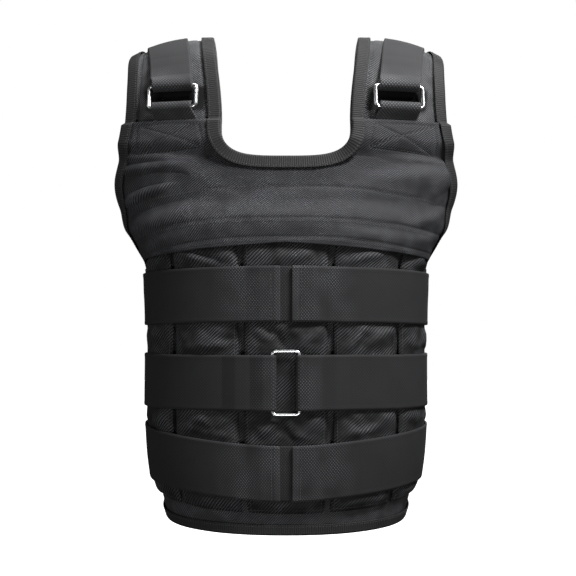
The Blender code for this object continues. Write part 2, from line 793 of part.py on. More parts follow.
def ring_row(frame, up, lift):
    """Points across a strap near the rings, in the rings' own plane."""
    return [frame @ Vector((side * STRAP_WIDTH, up, lift)) for side in STRAP_COLUMNS]


def build_straps():
    """Webbing over each pad to the rings, and a short one from the rings to the yoke."""
    low, high = ring_lifts()
    reach = RING_WIRE / 2 + LAYER_GAP + RING_PLAY
    bar = (SHOULDER_RING_LENGTH - RING_WIRE) / 2
    behind = PAD_THICK + LAYER_GAP + STRAP_THICK
    over_tail = behind + LAYER_GAP
    pad_lift = PAD_THICK + STRAP_PAD_GAP
    ring_run = torso.run_at(RING_DROP)
    stub_run = torso.run_at(STUB_DROP)
    for hand, left in (("right", False), ("left", True)):
        frame = strap_frame(False)
        path = [(bar + STRAP_TAIL, behind), (bar + STRAP_TAIL / 2, behind)]
        path += hairpin(bar, low, high, reach)
        path.append((bar + STRAP_TAIL * 0.3, high + reach - LAYER_GAP))
        path.append((bar + STRAP_TAIL * 0.75, (high + over_tail) / 2))
        path.append((bar + STRAP_TAIL + STRAP_END_CLEAR, over_tail))
        rows = [ring_row(frame, up, lift) for up, lift in path]
        first = ring_run - (bar + STRAP_TAIL + STRAP_SETTLE)
        last = stub_run + STRAP_TUCK
        for run in np.linspace(-first, last, STRAP_STEPS):
            rows.append(strap_row(float(run), pad_lift))
        sheet("upper_webbing_" + hand, flipped(rows) if left else rows, STRAP_THICK, WEBBING)
        path = [(bar + STRAP_LOWER_TAIL, behind)]
        path += hairpin(bar, low, high, reach)
        path.append((bar + STRAP_END_CLEAR, high + reach))
        path.append((bar + STRAP_LOWER_TAIL + STRAP_END_CLEAR, over_tail))
        rows = [ring_row(frame, -up, lift) for up, lift in path]
        for run in (stub_run, stub_run + STRAP_TUCK / 2, stub_run + STRAP_TUCK):
            rows.append(strap_row(-run, pad_lift))
        rows = turned(rows)
        sheet("lower_webbing_" + hand, flipped(rows) if left else rows, STRAP_THICK, WEBBING)


def build_belts():
    """Three pairs of belts and the two patches that their plain ends meet on."""
    for hand, left in (("right", False), ("left", True)):
        build_belt("top_belt_" + hand, plain_end(TOP_BELT_END), TOP_BELT_DROP, TOP_BELT_DIP,
                   left)
        build_belt("middle_belt_" + hand, ring_end(), MIDDLE_BELT_DROP, 0.0, left)
        build_belt("bottom_belt_" + hand, plain_end(BOTTOM_BELT_END), BOTTOM_BELT_DROP,
                   BOTTOM_BELT_DIP, left, sides=(0.5, 0.0, -0.5))
    build_patch("top_patch", TOP_BELT_DROP)
    build_patch("bottom_patch", BOTTOM_BELT_DROP)


build_panel("front_panel", False)
build_panel("back_panel", True)
build_yoke("front_yoke", False)
build_yoke("back_yoke", True)
build_pad("shoulder_pad_right", False)
build_pad("shoulder_pad_left", True)
build_bindings()
build_pockets()
build_belts()
build_rings()
build_straps()
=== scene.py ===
# %% [markdown]
# # A weighted vest, dressed around its CAD model
# The vest is shown worn, with nobody in it: a chest yoke, pocket columns that hold the
# weights, three pairs of wide webbing belts, padded shoulders with chrome adjuster rings,
# and ribbed tape over every raw edge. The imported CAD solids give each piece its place.
# Every cloth piece is laid again here on the same torso surface with many more points,
# so that folds, puckers, seams and stitches have something to live in.

# %% The frame
import math

import bpy
import numpy as np
from mathutils import Matrix, Vector
from mathutils.bvhtree import BVHTree


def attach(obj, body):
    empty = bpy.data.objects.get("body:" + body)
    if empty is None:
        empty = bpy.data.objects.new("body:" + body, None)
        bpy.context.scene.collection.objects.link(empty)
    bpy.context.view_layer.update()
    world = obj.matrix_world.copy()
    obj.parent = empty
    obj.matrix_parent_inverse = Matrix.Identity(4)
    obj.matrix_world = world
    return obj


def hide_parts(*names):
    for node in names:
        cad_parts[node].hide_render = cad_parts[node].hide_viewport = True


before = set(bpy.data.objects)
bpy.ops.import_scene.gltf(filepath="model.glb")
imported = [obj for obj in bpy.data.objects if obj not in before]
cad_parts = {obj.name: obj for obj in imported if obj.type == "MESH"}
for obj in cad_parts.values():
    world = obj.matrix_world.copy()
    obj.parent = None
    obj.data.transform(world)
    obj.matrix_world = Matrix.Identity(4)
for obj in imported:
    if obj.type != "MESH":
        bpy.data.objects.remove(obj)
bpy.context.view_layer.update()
MM = 0.001

# %% [markdown]
# ## Camera
# The photo was taken straight on from chest height with a short telephoto lens. The lens
# axis stays level, and a small lens shift puts the vest where the photo has it, so that
# upright edges stay upright.

# %% Camera
CAMERA_AWAY = 1.10
CAMERA_HEIGHT = -0.270
PHOTO_WIDTH = 576
FOCAL_PIXELS = 1088
HORIZON_BELOW_MIDDLE = 37
AXIS_LEFT_OF_MIDDLE = 2

camera = bpy.data.objects.new("camera", bpy.data.cameras.new("camera"))
bpy.context.scene.collection.objects.link(camera)
camera.location = (0, -CAMERA_AWAY, CAMERA_HEIGHT)
camera.rotation_euler = (math.pi / 2, 0, 0)
camera.data.sensor_width = 36
camera.data.lens = FOCAL_PIXELS / PHOTO_WIDTH * camera.data.sensor_width
camera.data.shift_x = AXIS_LEFT_OF_MIDDLE / PHOTO_WIDTH
camera.data.shift_y = HORIZON_BELOW_MIDDLE / PHOTO_WIDTH
bpy.context.scene.camera = camera
bpy.context.scene.view_settings.view_transform = "Standard"
print("lens", round(camera.data.lens, 1), "mm")

# %% [markdown]
# ## Light
# Black nylon shows only what it reflects. One big soft box above the front draws the
# highlights on the chest and shoulders. Weak ones open the sides, the hem and the back, and
# the world adds a little light from all round. The world looks white to the camera alone,
# so the white ground does not wash the cloth out.


# %% Soft boxes
def soft_box(name, place, target, size, power):
    """Area light that faces its target."""
    light = bpy.data.lights.new(name, "AREA")
    light.shape = "RECTANGLE"
    light.size, light.size_y = size
    light.energy = power
    made = bpy.data.objects.new(name, light)
    made.location = place
    aim = Vector(target) - Vector(place)
    made.rotation_euler = aim.to_track_quat("-Z", "Y").to_euler()
    bpy.context.scene.collection.objects.link(made)


soft_box("key_light", (0.75, -0.72, 1.02), (0, -0.05, -0.15), (0.50, 0.40), 41)
soft_box("left_light", (-1.3, -0.6, 0.1), (0, 0, -0.25), (0.4, 1.0), 2.8)
soft_box("right_light", (1.3, -0.6, 0.1), (0, 0, -0.25), (0.4, 1.0), 0.6)
soft_box("top_light", (0, 0.10, 1.1), (0, 0, -0.1), (0.8, 0.5), 9.5)
soft_box("low_light", (0.1, -1.3, -0.75), (0, -0.05, -0.42), (0.5, 0.3), 7)
soft_box("back_light", (0.3, 1.4, 0.5), (0, 0, -0.25), (1.2, 0.8), 10)

# %% One call for a node
def add_node(tree, kind, settings=None, **inputs):
    """Any node: its settings first, then the values or links of its sockets.

    A socket goes by its name, or by an underscore and its number.
    """
    made = tree.nodes.new(kind)
    for setting, value in (settings or {}).items():
        setattr(made, setting, value)
    for word, value in inputs.items():
        target = made.inputs[int(word[1:]) if word[1:].isdigit() else word]
        value = getattr(value, "socket", value)
        if isinstance(value, bpy.types.NodeSocket):
            tree.links.new(value, target)
        else:
            target.default_value = value
    return made


# %% World and floor
WORLD_LIGHT = 0.06
WHITE = (1, 1, 1, 1)

world = bpy.data.worlds.new("studio")
bpy.context.scene.world = world
world.use_nodes = True
tree = world.node_tree
plain = tree.nodes["Background"]
plain.inputs["Color"].default_value = WHITE
plain.inputs["Strength"].default_value = WORLD_LIGHT
bright = add_node(tree, "ShaderNodeBackground", Color=WHITE)
seen = add_node(tree, "ShaderNodeLightPath")
choice = add_node(tree, "ShaderNodeMixShader", _0=seen.outputs["Is Camera Ray"],
                  _1=plain.outputs[0], _2=bright.outputs[0])
tree.links.new(choice.outputs[0], tree.nodes["World Output"].inputs["Surface"])

FLOOR_HEIGHT, FLOOR_HALF, FLOOR_GLOW = -0.78, 9.0, 1.3
FLOOR_CORNERS = ((-1, -1), (1, -1), (1, 1), (-1, 1))
floor_mesh = bpy.data.meshes.new("floor")
floor_mesh.from_pydata([(x * FLOOR_HALF, y * FLOOR_HALF, FLOOR_HEIGHT) for x, y in FLOOR_CORNERS],
                       [], [(0, 1, 2, 3)])
floor = bpy.data.objects.new("floor", floor_mesh)
bpy.context.scene.collection.objects.link(floor)
floor.visible_diffuse = False
floor.visible_glossy = False
paint = bpy.data.materials.new("floor_paint")
paint.use_nodes = True
coat = paint.node_tree.nodes["Principled BSDF"].inputs
coat["Base Color"].default_value = WHITE
coat["Roughness"].default_value = 0.9
coat["Emission Color"].default_value = WHITE
coat["Emission Strength"].default_value = FLOOR_GLOW
floor_mesh.materials.append(paint)

# %% [markdown]
# ## Writing shaders as sums
# A finish is a few formulas on the piece's own flat coordinates, in metres along and
# across the cloth. Laying its nodes one by one would hide the formula. A small class wraps
# a node socket instead, so that a formula in Python adds its own Math nodes.


# %% Shader sums
class Sum:
    """A number that comes out of a node, and can be added, multiplied and compared."""

    def __init__(self, tree, socket):
        self.tree = tree
        self.socket = socket

    def step(self, operation, *others):
        sockets = {f"_{place}": value for place, value in enumerate((self, *others))}
        made = add_node(self.tree, "ShaderNodeMath", {"operation": operation}, **sockets)
        return Sum(self.tree, made.outputs[0])

    def __add__(self, other):
        return self.step("ADD", other)

    def __sub__(self, other):
        return self.step("SUBTRACT", other)

    def __mul__(self, other):
        return self.step("MULTIPLY", other)

    def __rsub__(self, other):
        return (self * -1) + other

    __radd__ = __add__
    __rmul__ = __mul__

    def sine(self):
        return self.step("SINE")

    def wave(self, pitch):
        """Rises and falls between 0 and 1, once in every pitch."""
        return (self * (2 * math.pi / pitch)).sine() * 0.5 + 0.5

    def clamped(self):
        return self.step("MAXIMUM", 0.0).step("MINIMUM", 1.0)


class Finish:
    """A material under construction."""

    def __init__(self, name, metallic=0.0, specular=0.5):
        self.material = bpy.data.materials.new(name)
        self.material.use_nodes = True
        self.tree = self.material.node_tree
        self.shader = self.tree.nodes["Principled BSDF"]
        self.shader.inputs["Metallic"].default_value = metallic
        self.shader.inputs["Specular IOR Level"].default_value = specular

    def node(self, kind, settings=None, **inputs):
        return add_node(self.tree, "ShaderNode" + kind, settings, **inputs)

    def flat(self):
        """Metres along and across the cloth, from the piece's UV map."""
        spot = self.node("UVMap", {"uv_map": "flat"})
        parts = self.node("SeparateXYZ", _0=spot.outputs[0])
        return Sum(self.tree, parts.outputs[0]), Sum(self.tree, parts.outputs[1])

    def noise(self, size, detail):
        """Cloudy noise between 0 and 1 on Object coordinates."""
        made = self.node("TexNoise", {"noise_dimensions": "3D"}, Scale=1 / size, Detail=detail,
                         Vector=self.node("TexCoord").outputs["Object"])
        return Sum(self.tree, made.outputs[0])

    def attribute(self, name):
        made = self.node("Attribute", {"attribute_name": name})
        return Sum(self.tree, made.outputs["Fac"])

    def colours(self, share, low, high):
        """Colour between two, by a share."""
        made = self.node("Mix", {"data_type": "RGBA"}, _0=share.clamped(),
                         _6=(*low, 1), _7=(*high, 1))
        return made.outputs[2]

    def set(self, colour, roughness, height=None, depth=0.0):
        """Link a colour, a roughness and the bump of a height that is so deep in metres."""
        self.tree.links.new(colour, self.shader.inputs["Base Color"])
        self.tree.links.new(roughness.socket, self.shader.inputs["Roughness"])
        if height is not None:
            made = self.node("Bump", Strength=1.0, Distance=depth, Height=height)
            self.tree.links.new(made.outputs[0], self.shader.inputs["Normal"])
        return self.material


# %% [markdown]
# ## Finishes
# The shell is a thick ballistic nylon: its yarns step over each other so that light runs
# along slanting rows, helped by painted sheen on the yarns in cloudy patches. The webbing
# of belts and straps is a matt, tight plain weave with fine cross ribs, the binding is a
# ribbed tape, and the rings are polished chrome.


# %% Ballistic nylon
def nylon(name, pitch, patchy, dark, pale, shine):
    """Woven shell cloth. Its rows of yarn rise to the right, a pitch apart along the cloth."""
    made = Finish(name, specular=0.34)
    along, across = made.flat()
    rows = (along + across).wave(pitch)
    crossing = (along - across).wave(pitch * 0.7)
    cloud = made.noise(0.045, 2.0)
    # Painted sheen: the pale colour of the yarn rows stands in for their glints, and shows in
    # cloudy patches.
    patches = (made.noise(0.020, 1.5) * 3.6 - 1.35).clamped()
    painted_sheen = patches * patchy + (1 - patchy)
    yarn = (rows * rows * 0.60 + rows * crossing * 0.40) * painted_sheen
    # Painted light and shade: the painted shading attribute makes raised cloth paler and hollows
    # and shaded places darker.
    painted_shading = made.attribute("painted_shading")
    tone = yarn * 0.95 + cloud * 0.09 + painted_shading * 0.07 - 0.05
    gloss = 0.70 - yarn * shine - painted_shading * 0.06 + cloud * 0.10
    return made.set(made.colours(tone, dark, pale), gloss, yarn + cloud * 0.3, 0.00055)


yoke_shell = nylon("shell_nylon", 2.1 * MM, 0.6,
                   (0.0024, 0.0024, 0.0029), (0.122, 0.125, 0.139), 0.36)
pocket_shell = nylon("pocket_nylon", 3.2 * MM, 0.8,
                     (0.0002, 0.0002, 0.0003), (0.104, 0.106, 0.115), 0.46)
panel_shell = nylon("panel_nylon", 2.6 * MM, 0.7,
                    (0.0005, 0.0005, 0.0006), (0.150, 0.151, 0.162), 0.34)
pad_shell = nylon("pad_nylon", 2.1 * MM, 0.6,
                  (0.0045, 0.0045, 0.005), (0.240, 0.245, 0.258), 0.22)


# %% Webbing and tape
GRAIN_END, DOT_PITCH, RIB_PITCH = 0.036, 2.5 * MM, 2.0 * MM


def webbing(name, dark, pale):
    """Matt webbing: rows of dots where the yarns come up, clearer towards its front end."""
    made = Finish(name, specular=0.32)
    along, across = made.flat()
    dots = (along + across * 0.8).wave(DOT_PITCH) * (along - across * 0.8).wave(DOT_PITCH)
    near_end = (1 - (along.step("ABSOLUTE") - GRAIN_END) * 40).clamped()
    patches = (made.noise(0.026, 1.0) * 2.6 - 0.75).clamped()
    knit = dots * (near_end * patches * 0.9 + 0.10)
    cloud = made.noise(0.030, 2.0)
    # Painted light: the same attribute makes raised edges and end hem bands of webbing paler.
    edge = made.attribute("painted_shading")
    tone = knit * 0.95 + cloud * 0.08 + edge * 0.08 + 0.015
    gloss = 0.82 - knit * 0.42
    return made.set(made.colours(tone, dark, pale), gloss, knit, 0.00030)


belt_webbing = webbing("belt_webbing", (0.0074, 0.0074, 0.0080), (0.098, 0.099, 0.106))
loop_webbing = webbing("loop_webbing", (0.0080, 0.0080, 0.0086), (0.055, 0.055, 0.058))
strap_webbing = webbing("strap_webbing", (0.018, 0.018, 0.019), (0.160, 0.163, 0.172))


def ribbed(name, dark, pale):
    """Binding tape with ribs across its length."""
    made = Finish(name, specular=0.25)
    along, _ = made.flat()
    ribs = along.wave(RIB_PITCH)
    cloud = made.noise(0.020, 2.0)
    tone = ribs * 0.55 + cloud * 0.45
    return made.set(made.colours(tone, dark, pale), 0.72 - ribs * 0.16, ribs, 0.00016)


tape = ribbed("binding_tape", (0.0062, 0.0062, 0.0066), (0.035, 0.035, 0.0365))


# %% Thread and chrome
def plain_thread():
    """Dark thread, a little lighter than the cloth."""
    made = Finish("thread", specular=0.4)
    cloud = made.noise(0.004, 2.0)
    return made.set(made.colours(cloud, (0.020, 0.020, 0.021), (0.075, 0.075, 0.078)),
                    0.55 + cloud * 0.2)


def chrome():
    """Polished plating with a slight haze."""
    made = Finish("chrome", metallic=1.0)
    cloud = made.noise(0.006, 3.0)
    haze = made.noise(0.0012, 2.0)
    return made.set(made.colours(cloud, (0.80, 0.81, 0.83), (0.95, 0.96, 0.97)),
                    0.24 + haze * 0.10, haze, 0.00001)


thread = plain_thread()
ring_chrome = chrome()
print("finishes", len(bpy.data.materials))

# %% [markdown]
# ## The torso surface
# A point of the vest is named by its place round the section, its run along the cloth
# from the top of the shoulder, and its lift off the surface. The sizes repeat the CAD
# part's own. Here the formulas take whole arrays, so a sheet of 20,000 points is quick.

# %% Sizes of the vest
BODY_DROP, HALF_WIDTH, HALF_DEPTH = 0.463, 0.1305, 0.096
ROUNDNESS, STUB_DROP, ARMHOLE_DROP = 2.6, 0.079, 0.2095
PAD_HALF_NECK, CROWN_DROOP, HEM_RISE = 0.0735, 0.0165, 0.010
NECK_DROP, NECK_HALF_WIDTH, BACK_NECK_HALF_WIDTH = 0.1145, 0.0625, 0.0720
NECK_SQUARENESS = 3.4
PANEL_THICK, YOKE_THICK, POCKET_THICK = 2.0 * MM, 1.8 * MM, 1.5 * MM
PAD_THICK, BINDING_THICK, STRAP_THICK = 6.0 * MM, 1.0 * MM, 1.8 * MM
BELT_THICK, PATCH_THICK = 2.0 * MM, 1.2 * MM
LAYER_GAP, LINING_GAP, TAPE_GAP = 0.5 * MM, 0.9 * MM, 1.4 * MM
TAPE_LINING_GAP, FLAP_GAP, SEAM_GAP = 1.7 * MM, 1.8 * MM, 0.4 * MM
POCKET_DEPTH = 5.8 * MM
HANDS = {1: "right", -1: "left"}
MIRROR = np.array([-1, 1, 1])
POCKET_TOP_DROP, POCKET_END_RISE, YOKE_LEAD = 0.184, 0.022, 0.009
YOKE_FALL_START, YOKE_FALL_END = 0.74, 0.88
PAD_TUCK = 0.018

# Sections: drop as a share of the body's, width and depth as shares of the waist's
SECTIONS = (
    (-0.0216, 1.533, 0.000), (-0.0130, 1.525, 0.230), (0.0173, 1.502, 0.438),
    (0.0756, 1.456, 0.594), (0.1706, 1.395, 0.724), (0.2484, 1.368, 0.818),
    (0.2894, 1.346, 0.865), (0.3240, 1.287, 0.901), (0.3672, 1.184, 0.941),
    (0.3996, 1.103, 0.967), (0.4471, 1.031, 0.993), (0.5184, 1.008, 1.000),
    (0.6479, 1.000, 1.000), (0.7775, 1.000, 1.000), (0.8855, 0.969, 0.990),
    (0.9503, 0.923, 0.969), (1.0000, 0.874, 0.943), (1.0300, 0.852, 0.936),
)
# Rows up the chest: climb at the centre, turn round the neck's corner in degrees, climb at
# the side and place of the outer edge
CHEST_ROWS = (
    (0.00, 0, 0.000, 1.000), (0.15, 0, 0.025, 0.945), (0.33, 0, 0.090, 0.880),
    (0.52, 0, 0.190, 0.822), (0.76, 0, 0.320, 0.782), (1.00, 0, 0.470, 0.742),
    (1.00, 27, 0.610, 0.698), (1.00, 50, 0.740, 0.660), (1.00, 72, 0.870, 0.630),
    (1.00, 90, 1.000, 0.610),
)
# Rows up a pad: share of the climb and place of the outer edge
PAD_ROWS = ((0.00, 0.610), (0.18, 0.591), (0.36, 0.575), (0.54, 0.560), (0.72, 0.548),
            (0.87, 0.537), (1.00, 0.528))


# %% The surface itself
def curve_through(places, values, at):
    """A table read as one smooth curve."""
    places, values, at = (np.asarray(x, float) for x in (places, values, at))
    slopes = np.gradient(values, places)
    index = np.clip(np.searchsorted(places, at) - 1, 0, len(places) - 2)
    step = places[index + 1] - places[index]
    t = np.clip((at - places[index]) / step, 0, 1)
    return ((1 + 2 * t) * (1 - t) ** 2 * values[index]
            + t * (1 - t) ** 2 * step * slopes[index]
            + t * t * (3 - 2 * t) * values[index + 1]
            + t * t * (t - 1) * step * slopes[index + 1])


def ease(value, start, end):
    """0 before the start, 1 past the end and a smooth rise between them."""
    t = np.clip((np.asarray(value, float) - start) / (end - start), 0, 1)
    return t * t * (3 - 2 * t)


def length_along(steps):
    """Distance of each point of a chain from its start, from the lengths of its steps."""
    return np.concatenate([[0], np.cumsum(steps)])


def unit(vectors):
    """The same directions, all of length 1."""
    return vectors / np.maximum(np.linalg.norm(vectors, axis=-1, keepdims=True), 1e-12)


# %% The torso
class Torso:
    """The surface that the cloth lies on. A negative place is on the left of the centre."""

    def __init__(self):
        down, wide, deep = (np.array(column) for column in zip(*SECTIONS))
        heights = np.concatenate([-down[1:2], -down]) * BODY_DROP
        depths = np.concatenate([-deep[1:2], deep]) * HALF_DEPTH
        widths = np.concatenate([wide[1:2], wide]) * HALF_WIDTH
        run = length_along(np.hypot(np.diff(heights), np.diff(depths)))
        run -= run[1]
        self.run = np.linspace(0, run[-1], 400)
        self.height = curve_through(run, heights, self.run)
        self.depth = curve_through(run, depths, self.run)
        self.width = curve_through(run, widths, self.run)
        turn = np.linspace(0, math.pi / 2, 2001)
        self.across = np.sin(turn) ** (2 / ROUNDNESS)
        self.forward = np.cos(turn) ** (2 / ROUNDNESS)
        arc = length_along(np.hypot(np.diff(HALF_WIDTH * self.across),
                                    np.diff(HALF_DEPTH * self.forward)))
        self.quarter = arc[-1]
        self.around = arc / arc[-1]

    def run_at(self, drop):
        return np.interp(drop, -self.height, self.run)

    def drop_at(self, run):
        return -np.interp(run, self.run, self.height)

    def around_at(self, x, run):
        return np.interp(x / np.interp(run, self.run, self.width), self.across, self.around)

    def bare(self, around, run):
        around, run = np.broadcast_arrays(np.asarray(around, float), np.asarray(run, float))
        hand = np.where(around < 0, -1.0, 1.0)
        around = np.abs(around)
        folded = np.where(around > 1, 2 - around, around)
        x = np.interp(run, self.run, self.width) * np.interp(folded, self.around, self.across)
        y = np.interp(run, self.run, self.depth) * np.interp(folded, self.around, self.forward)
        z = np.interp(run, self.run, self.height)
        span = np.maximum(0.0, (x - PAD_HALF_NECK) / PAD_HALF_NECK)
        fade = np.maximum(0.0, 1 - run / self.run_at(STUB_DROP))
        z = z - CROWN_DROOP * span ** 2.4 * np.sin(fade * math.pi / 2) ** 2
        return np.stack([x * hand, np.where(around > 1, y, -y), z], -1)

    def normal(self, around, run):
        around, run = np.broadcast_arrays(np.asarray(around, float), np.asarray(run, float))
        hand = np.where(around < 0, -1.0, 1.0)
        place = np.abs(around)
        step, run_step = 0.012, 0.002
        first = np.clip(place, step, 2 - step)
        side = self.bare(first + step, run) - self.bare(first - step, run)
        flat = (place < step) | (place > 2 - step)
        straight = np.stack([np.where(place < 1, 1.0, -1.0), 0 * place, 0 * place], -1)
        side = np.where(flat[..., None], straight, side)
        lower = self.bare(place, run + run_step)
        upper = self.bare(place, np.maximum(run - run_step, 0.0))
        mirrored = self.bare(place, np.full_like(run, run_step)) * np.array([1, -1, 1])
        upper = np.where((run < run_step)[..., None], mirrored, upper)
        out = -unit(np.cross(upper - lower, side))
        out[..., 0] *= hand
        return out

    def point(self, around, run, lift):
        return self.bare(around, run) + self.normal(around, run) * np.asarray(lift)[..., None]


torso = Torso()
print("quarter of the waist", round(torso.quarter * 1000, 1), "mm")


# %% The edges of the body and of the pads
def body_rails(row, back):
    """Inner and outer edge of the body, by a row number: -1 hem, 0 armhole, 9 stub."""
    table = np.array(CHEST_ROWS, float)
    level = np.clip(row, 0, len(table) - 1)
    index = np.arange(len(table))
    centre = np.interp(level, index, table[:, 0])
    corner = np.radians(np.interp(level, index, table[:, 1]))
    edge = curve_through(index, table[:, 2], level)
    outer = np.minimum(curve_through(index, table[:, 3], level), 1.0)
    half = BACK_NECK_HALF_WIDTH if back else NECK_HALF_WIDTH
    x = half * np.sin(corner) ** (2 / NECK_SQUARENESS)
    rise = 1 - np.maximum(np.cos(corner), 0.0) ** (2 / NECK_SQUARENESS)
    skirt = np.clip(-np.asarray(row, float), 0, 1) * (BODY_DROP - ARMHOLE_DROP)
    drop = (ARMHOLE_DROP - centre * (ARMHOLE_DROP - NECK_DROP)
            - rise * (NECK_DROP - STUB_DROP) + skirt)
    run = torso.run_at(drop)
    outer_run = torso.run_at(ARMHOLE_DROP - edge * (ARMHOLE_DROP - STUB_DROP) + skirt)
    return torso.around_at(x, run), run, np.where(skirt > 0, 1.0, outer), outer_run


def pad_rails(climb, back):
    """Inner and outer edge of a pad, by the share of its climb from stub to crown."""
    table = np.array(PAD_ROWS)
    half = BACK_NECK_HALF_WIDTH if back else NECK_HALF_WIDTH
    run = torso.run_at(STUB_DROP) * (1 - np.asarray(climb, float))
    x = half + ease(climb, 0, 1) * (PAD_HALF_NECK - half)
    outer = curve_through(table[:, 0], table[:, 1], climb)
    below = body_rails(8.0, back)
    start = body_rails(9.0, back)
    tuck = np.maximum(-np.asarray(climb, float), 0) * torso.run_at(STUB_DROP)
    inner = torso.around_at(x, run)
    inner = inner + tuck / (below[1] - start[1]) * (below[0] - start[0])
    outer = outer + tuck / (below[3] - start[3]) * (below[2] - start[2])
    return inner, run, outer, run


def yoke_lift(around, run):
    """Inner face of the yoke: over the strap on the pads, the panel, then the pockets."""
    on_panel = PANEL_THICK + LAYER_GAP
    on_pad = PAD_THICK + STRAP_THICK + 4 * LAYER_GAP
    over_pockets = PANEL_THICK + POCKET_DEPTH + FLAP_GAP
    pad_end = torso.run_at(STUB_DROP) + PAD_TUCK
    pocket_top = torso.run_at(POCKET_TOP_DROP) - YOKE_LEAD
    lift = on_pad + ease(run, pad_end, pad_end + PAD_TUCK) * (on_panel - on_pad)
    over = ease(run, pocket_top - POCKET_END_RISE, pocket_top)
    over = over * (1 - ease(around, YOKE_FALL_START, YOKE_FALL_END))
    return lift + over * (over_pockets - on_panel)


# %% [markdown]
# ## From a sheet of points to sewn cloth
# A sheet starts as a grid of points with flat coordinates in metres. Joining the grids,
# giving them a wall and rounding the rim is the same work for all cloth, webbing and
# tape, so the same few helpers do it. The rim bulges a little, as a folded or woven
# edge does.


# %% Grids to solids
WELD = 2e-6
LEAST_SHARE = 0.31


def grid_faces(rows, columns):
    """Corner numbers of every four-sided face of a grid."""
    index = np.arange(rows * columns).reshape(rows, columns)
    return np.stack([index[:-1, :-1], index[:-1, 1:], index[1:, 1:], index[1:, :-1]],
                    -1).reshape(-1, 4)


def turned(*layers):
    """The same grids with their columns the other way round, which turns the faces over."""
    return tuple(layer[:, ::-1] for layer in layers)


def joined(*grids):
    """Grids of (points, flat, painted shading) sewn into one sheet where their points meet."""
    points, flat, painted_shading, faces, start = [], [], [], [], 0
    for place, uv, top in grids:
        rows, columns = place.shape[:2]
        points.append(place.reshape(-1, 3))
        flat.append(uv.reshape(-1, 2))
        painted_shading.append(np.broadcast_to(top, (rows, columns)).reshape(-1))
        faces.append(grid_faces(rows, columns) + start)
        start += rows * columns
    points, flat, painted_shading, faces = (np.concatenate(x) for x in (points, flat, painted_shading, faces))
    keys = np.round(points / WELD).astype(np.int64)
    _, first, back = np.unique(keys, axis=0, return_index=True, return_inverse=True)
    return points[first], flat[first], painted_shading[first], back.reshape(-1)[faces]


# %% A wall and a rounded rim
def walled(points, faces, flat, painted_shading, thick, rounds=1, bulge=0.5):
    """A sheet with a wall on its outer side and a rounded rim."""
    p = points[faces]
    face_out = np.cross(p[:, 2] - p[:, 0], p[:, 3] - p[:, 1])
    out = np.zeros_like(points)
    for corner in range(4):
        np.add.at(out, faces[:, corner], face_out)
    out = unit(out)
    a = faces.reshape(-1)
    b = np.roll(faces, -1, axis=1).reshape(-1)
    many = len(points)
    rim = ~np.isin(a * many + b, b * many + a) & (a != b)
    a, b = a[rim], b[rim]
    away = np.zeros_like(points)
    beside = unit(np.cross(unit(points[b] - points[a]), out[a] + out[b]))
    np.add.at(away, a, beside)
    np.add.at(away, b, beside)
    away = unit(away)
    border = np.unique(a)
    number = np.zeros(many, int)
    number[border] = np.arange(len(border))
    thick = np.broadcast_to(thick, many)[:, None]
    skins = [points + out * thick, points]
    rings, uvs, tops = [], [flat, flat], [painted_shading, painted_shading]
    for turn in np.linspace(90, -90, rounds + 2)[1:-1]:
        up = (1 + math.sin(math.radians(turn))) / 2
        wide = math.cos(math.radians(turn)) * bulge / 2
        rings.append((points + out * thick * up + away * thick * wide)[border])
        uvs.append(flat[border])
        tops.append(painted_shading[border])
    places = np.concatenate([*skins, *rings])
    levels = [lambda v: v]
    levels += [lambda v, k=k: 2 * many + k * len(border) + number[v] for k in range(rounds)]
    levels += [lambda v: v + many]
    quads = [faces, faces[:, ::-1] + many]
    for upper, lower in zip(levels, levels[1:]):
        quads.append(np.stack([upper(b), upper(a), lower(a), lower(b)], 1))
    return places, np.concatenate(quads), np.concatenate(uvs), np.concatenate(tops)


# %% Objects and what they stand for
def to_object(name, places, quads, flat, painted_shading, finish):
    """A smooth-shaded mesh object with its flat coordinates and its painted shading attribute."""
    mesh = bpy.data.meshes.new(name)
    mesh.from_pydata(places.tolist(), [], [tuple(dict.fromkeys(q)) for q in quads.tolist()])
    mesh.validate()
    uv = mesh.uv_layers.new(name="flat")
    corners = np.zeros(len(mesh.loops), np.int32)
    mesh.loops.foreach_get("vertex_index", corners)
    uv.data.foreach_set("uv", flat[corners].astype(np.float32).reshape(-1))
    top = mesh.attributes.new("painted_shading", "FLOAT", "POINT")
    top.data.foreach_set("value", painted_shading.astype(np.float32))
    mesh.shade_smooth()
    mesh.materials.append(finish)
    made = bpy.data.objects.new(name, mesh)
    bpy.context.scene.collection.objects.link(made)
    return made


def settle(made, node):
    """The piece rides on the vest and stands for its CAD node."""
    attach(made, "root")
    if node:
        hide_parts(node)
    print(f"{made.name}: {len(made.data.polygons)} faces")


def cloth(name, node, grids, thick, finish):
    """Join, wall and place one sheet. Its flat size is measured on its grids."""
    points, flat, painted_shading, faces = joined(*grids)
    middle = points[faces]
    area = np.linalg.norm(np.cross(middle[:, 2] - middle[:, 0], middle[:, 3] - middle[:, 1]),
                          axis=1).sum() / 2
    made = to_object(name, *walled(points, faces, flat, painted_shading, thick), finish)
    settle(made, node)
    size = flat.max(0) - flat.min(0)
    area = min(float(area), float(size[0] * size[1]))
    max(area, LEAST_SHARE * float(size[0] * size[1]))
    print(f"  flat {size[0] * 1000:.0f} x {size[1] * 1000:.0f} mm, {area * 1e4:.0f} square cm")


# %% [markdown]
# ## Wrinkles
# Fold fields are sums of soft ridges laid where the photo shows them, and of a
# fine wobble that repeats with its seed. They move a sheet along its own normal.


# %% Ridges and wobble
def ridges(u, v, table):
    """Height of a table of (u, v, slant, length, width, height) on flat coordinates."""
    total = np.zeros(np.broadcast(u, v).shape)
    for at_u, at_v, slant, length, width, height in table:
        turn = math.radians(slant)
        along = ((u - at_u) * math.cos(turn) + (v - at_v) * math.sin(turn)) / length
        beside = ((v - at_v) * math.cos(turn) - (u - at_u) * math.sin(turn)) / width
        total = total + height * np.exp(-along ** 2 - beside ** 2)
    return total


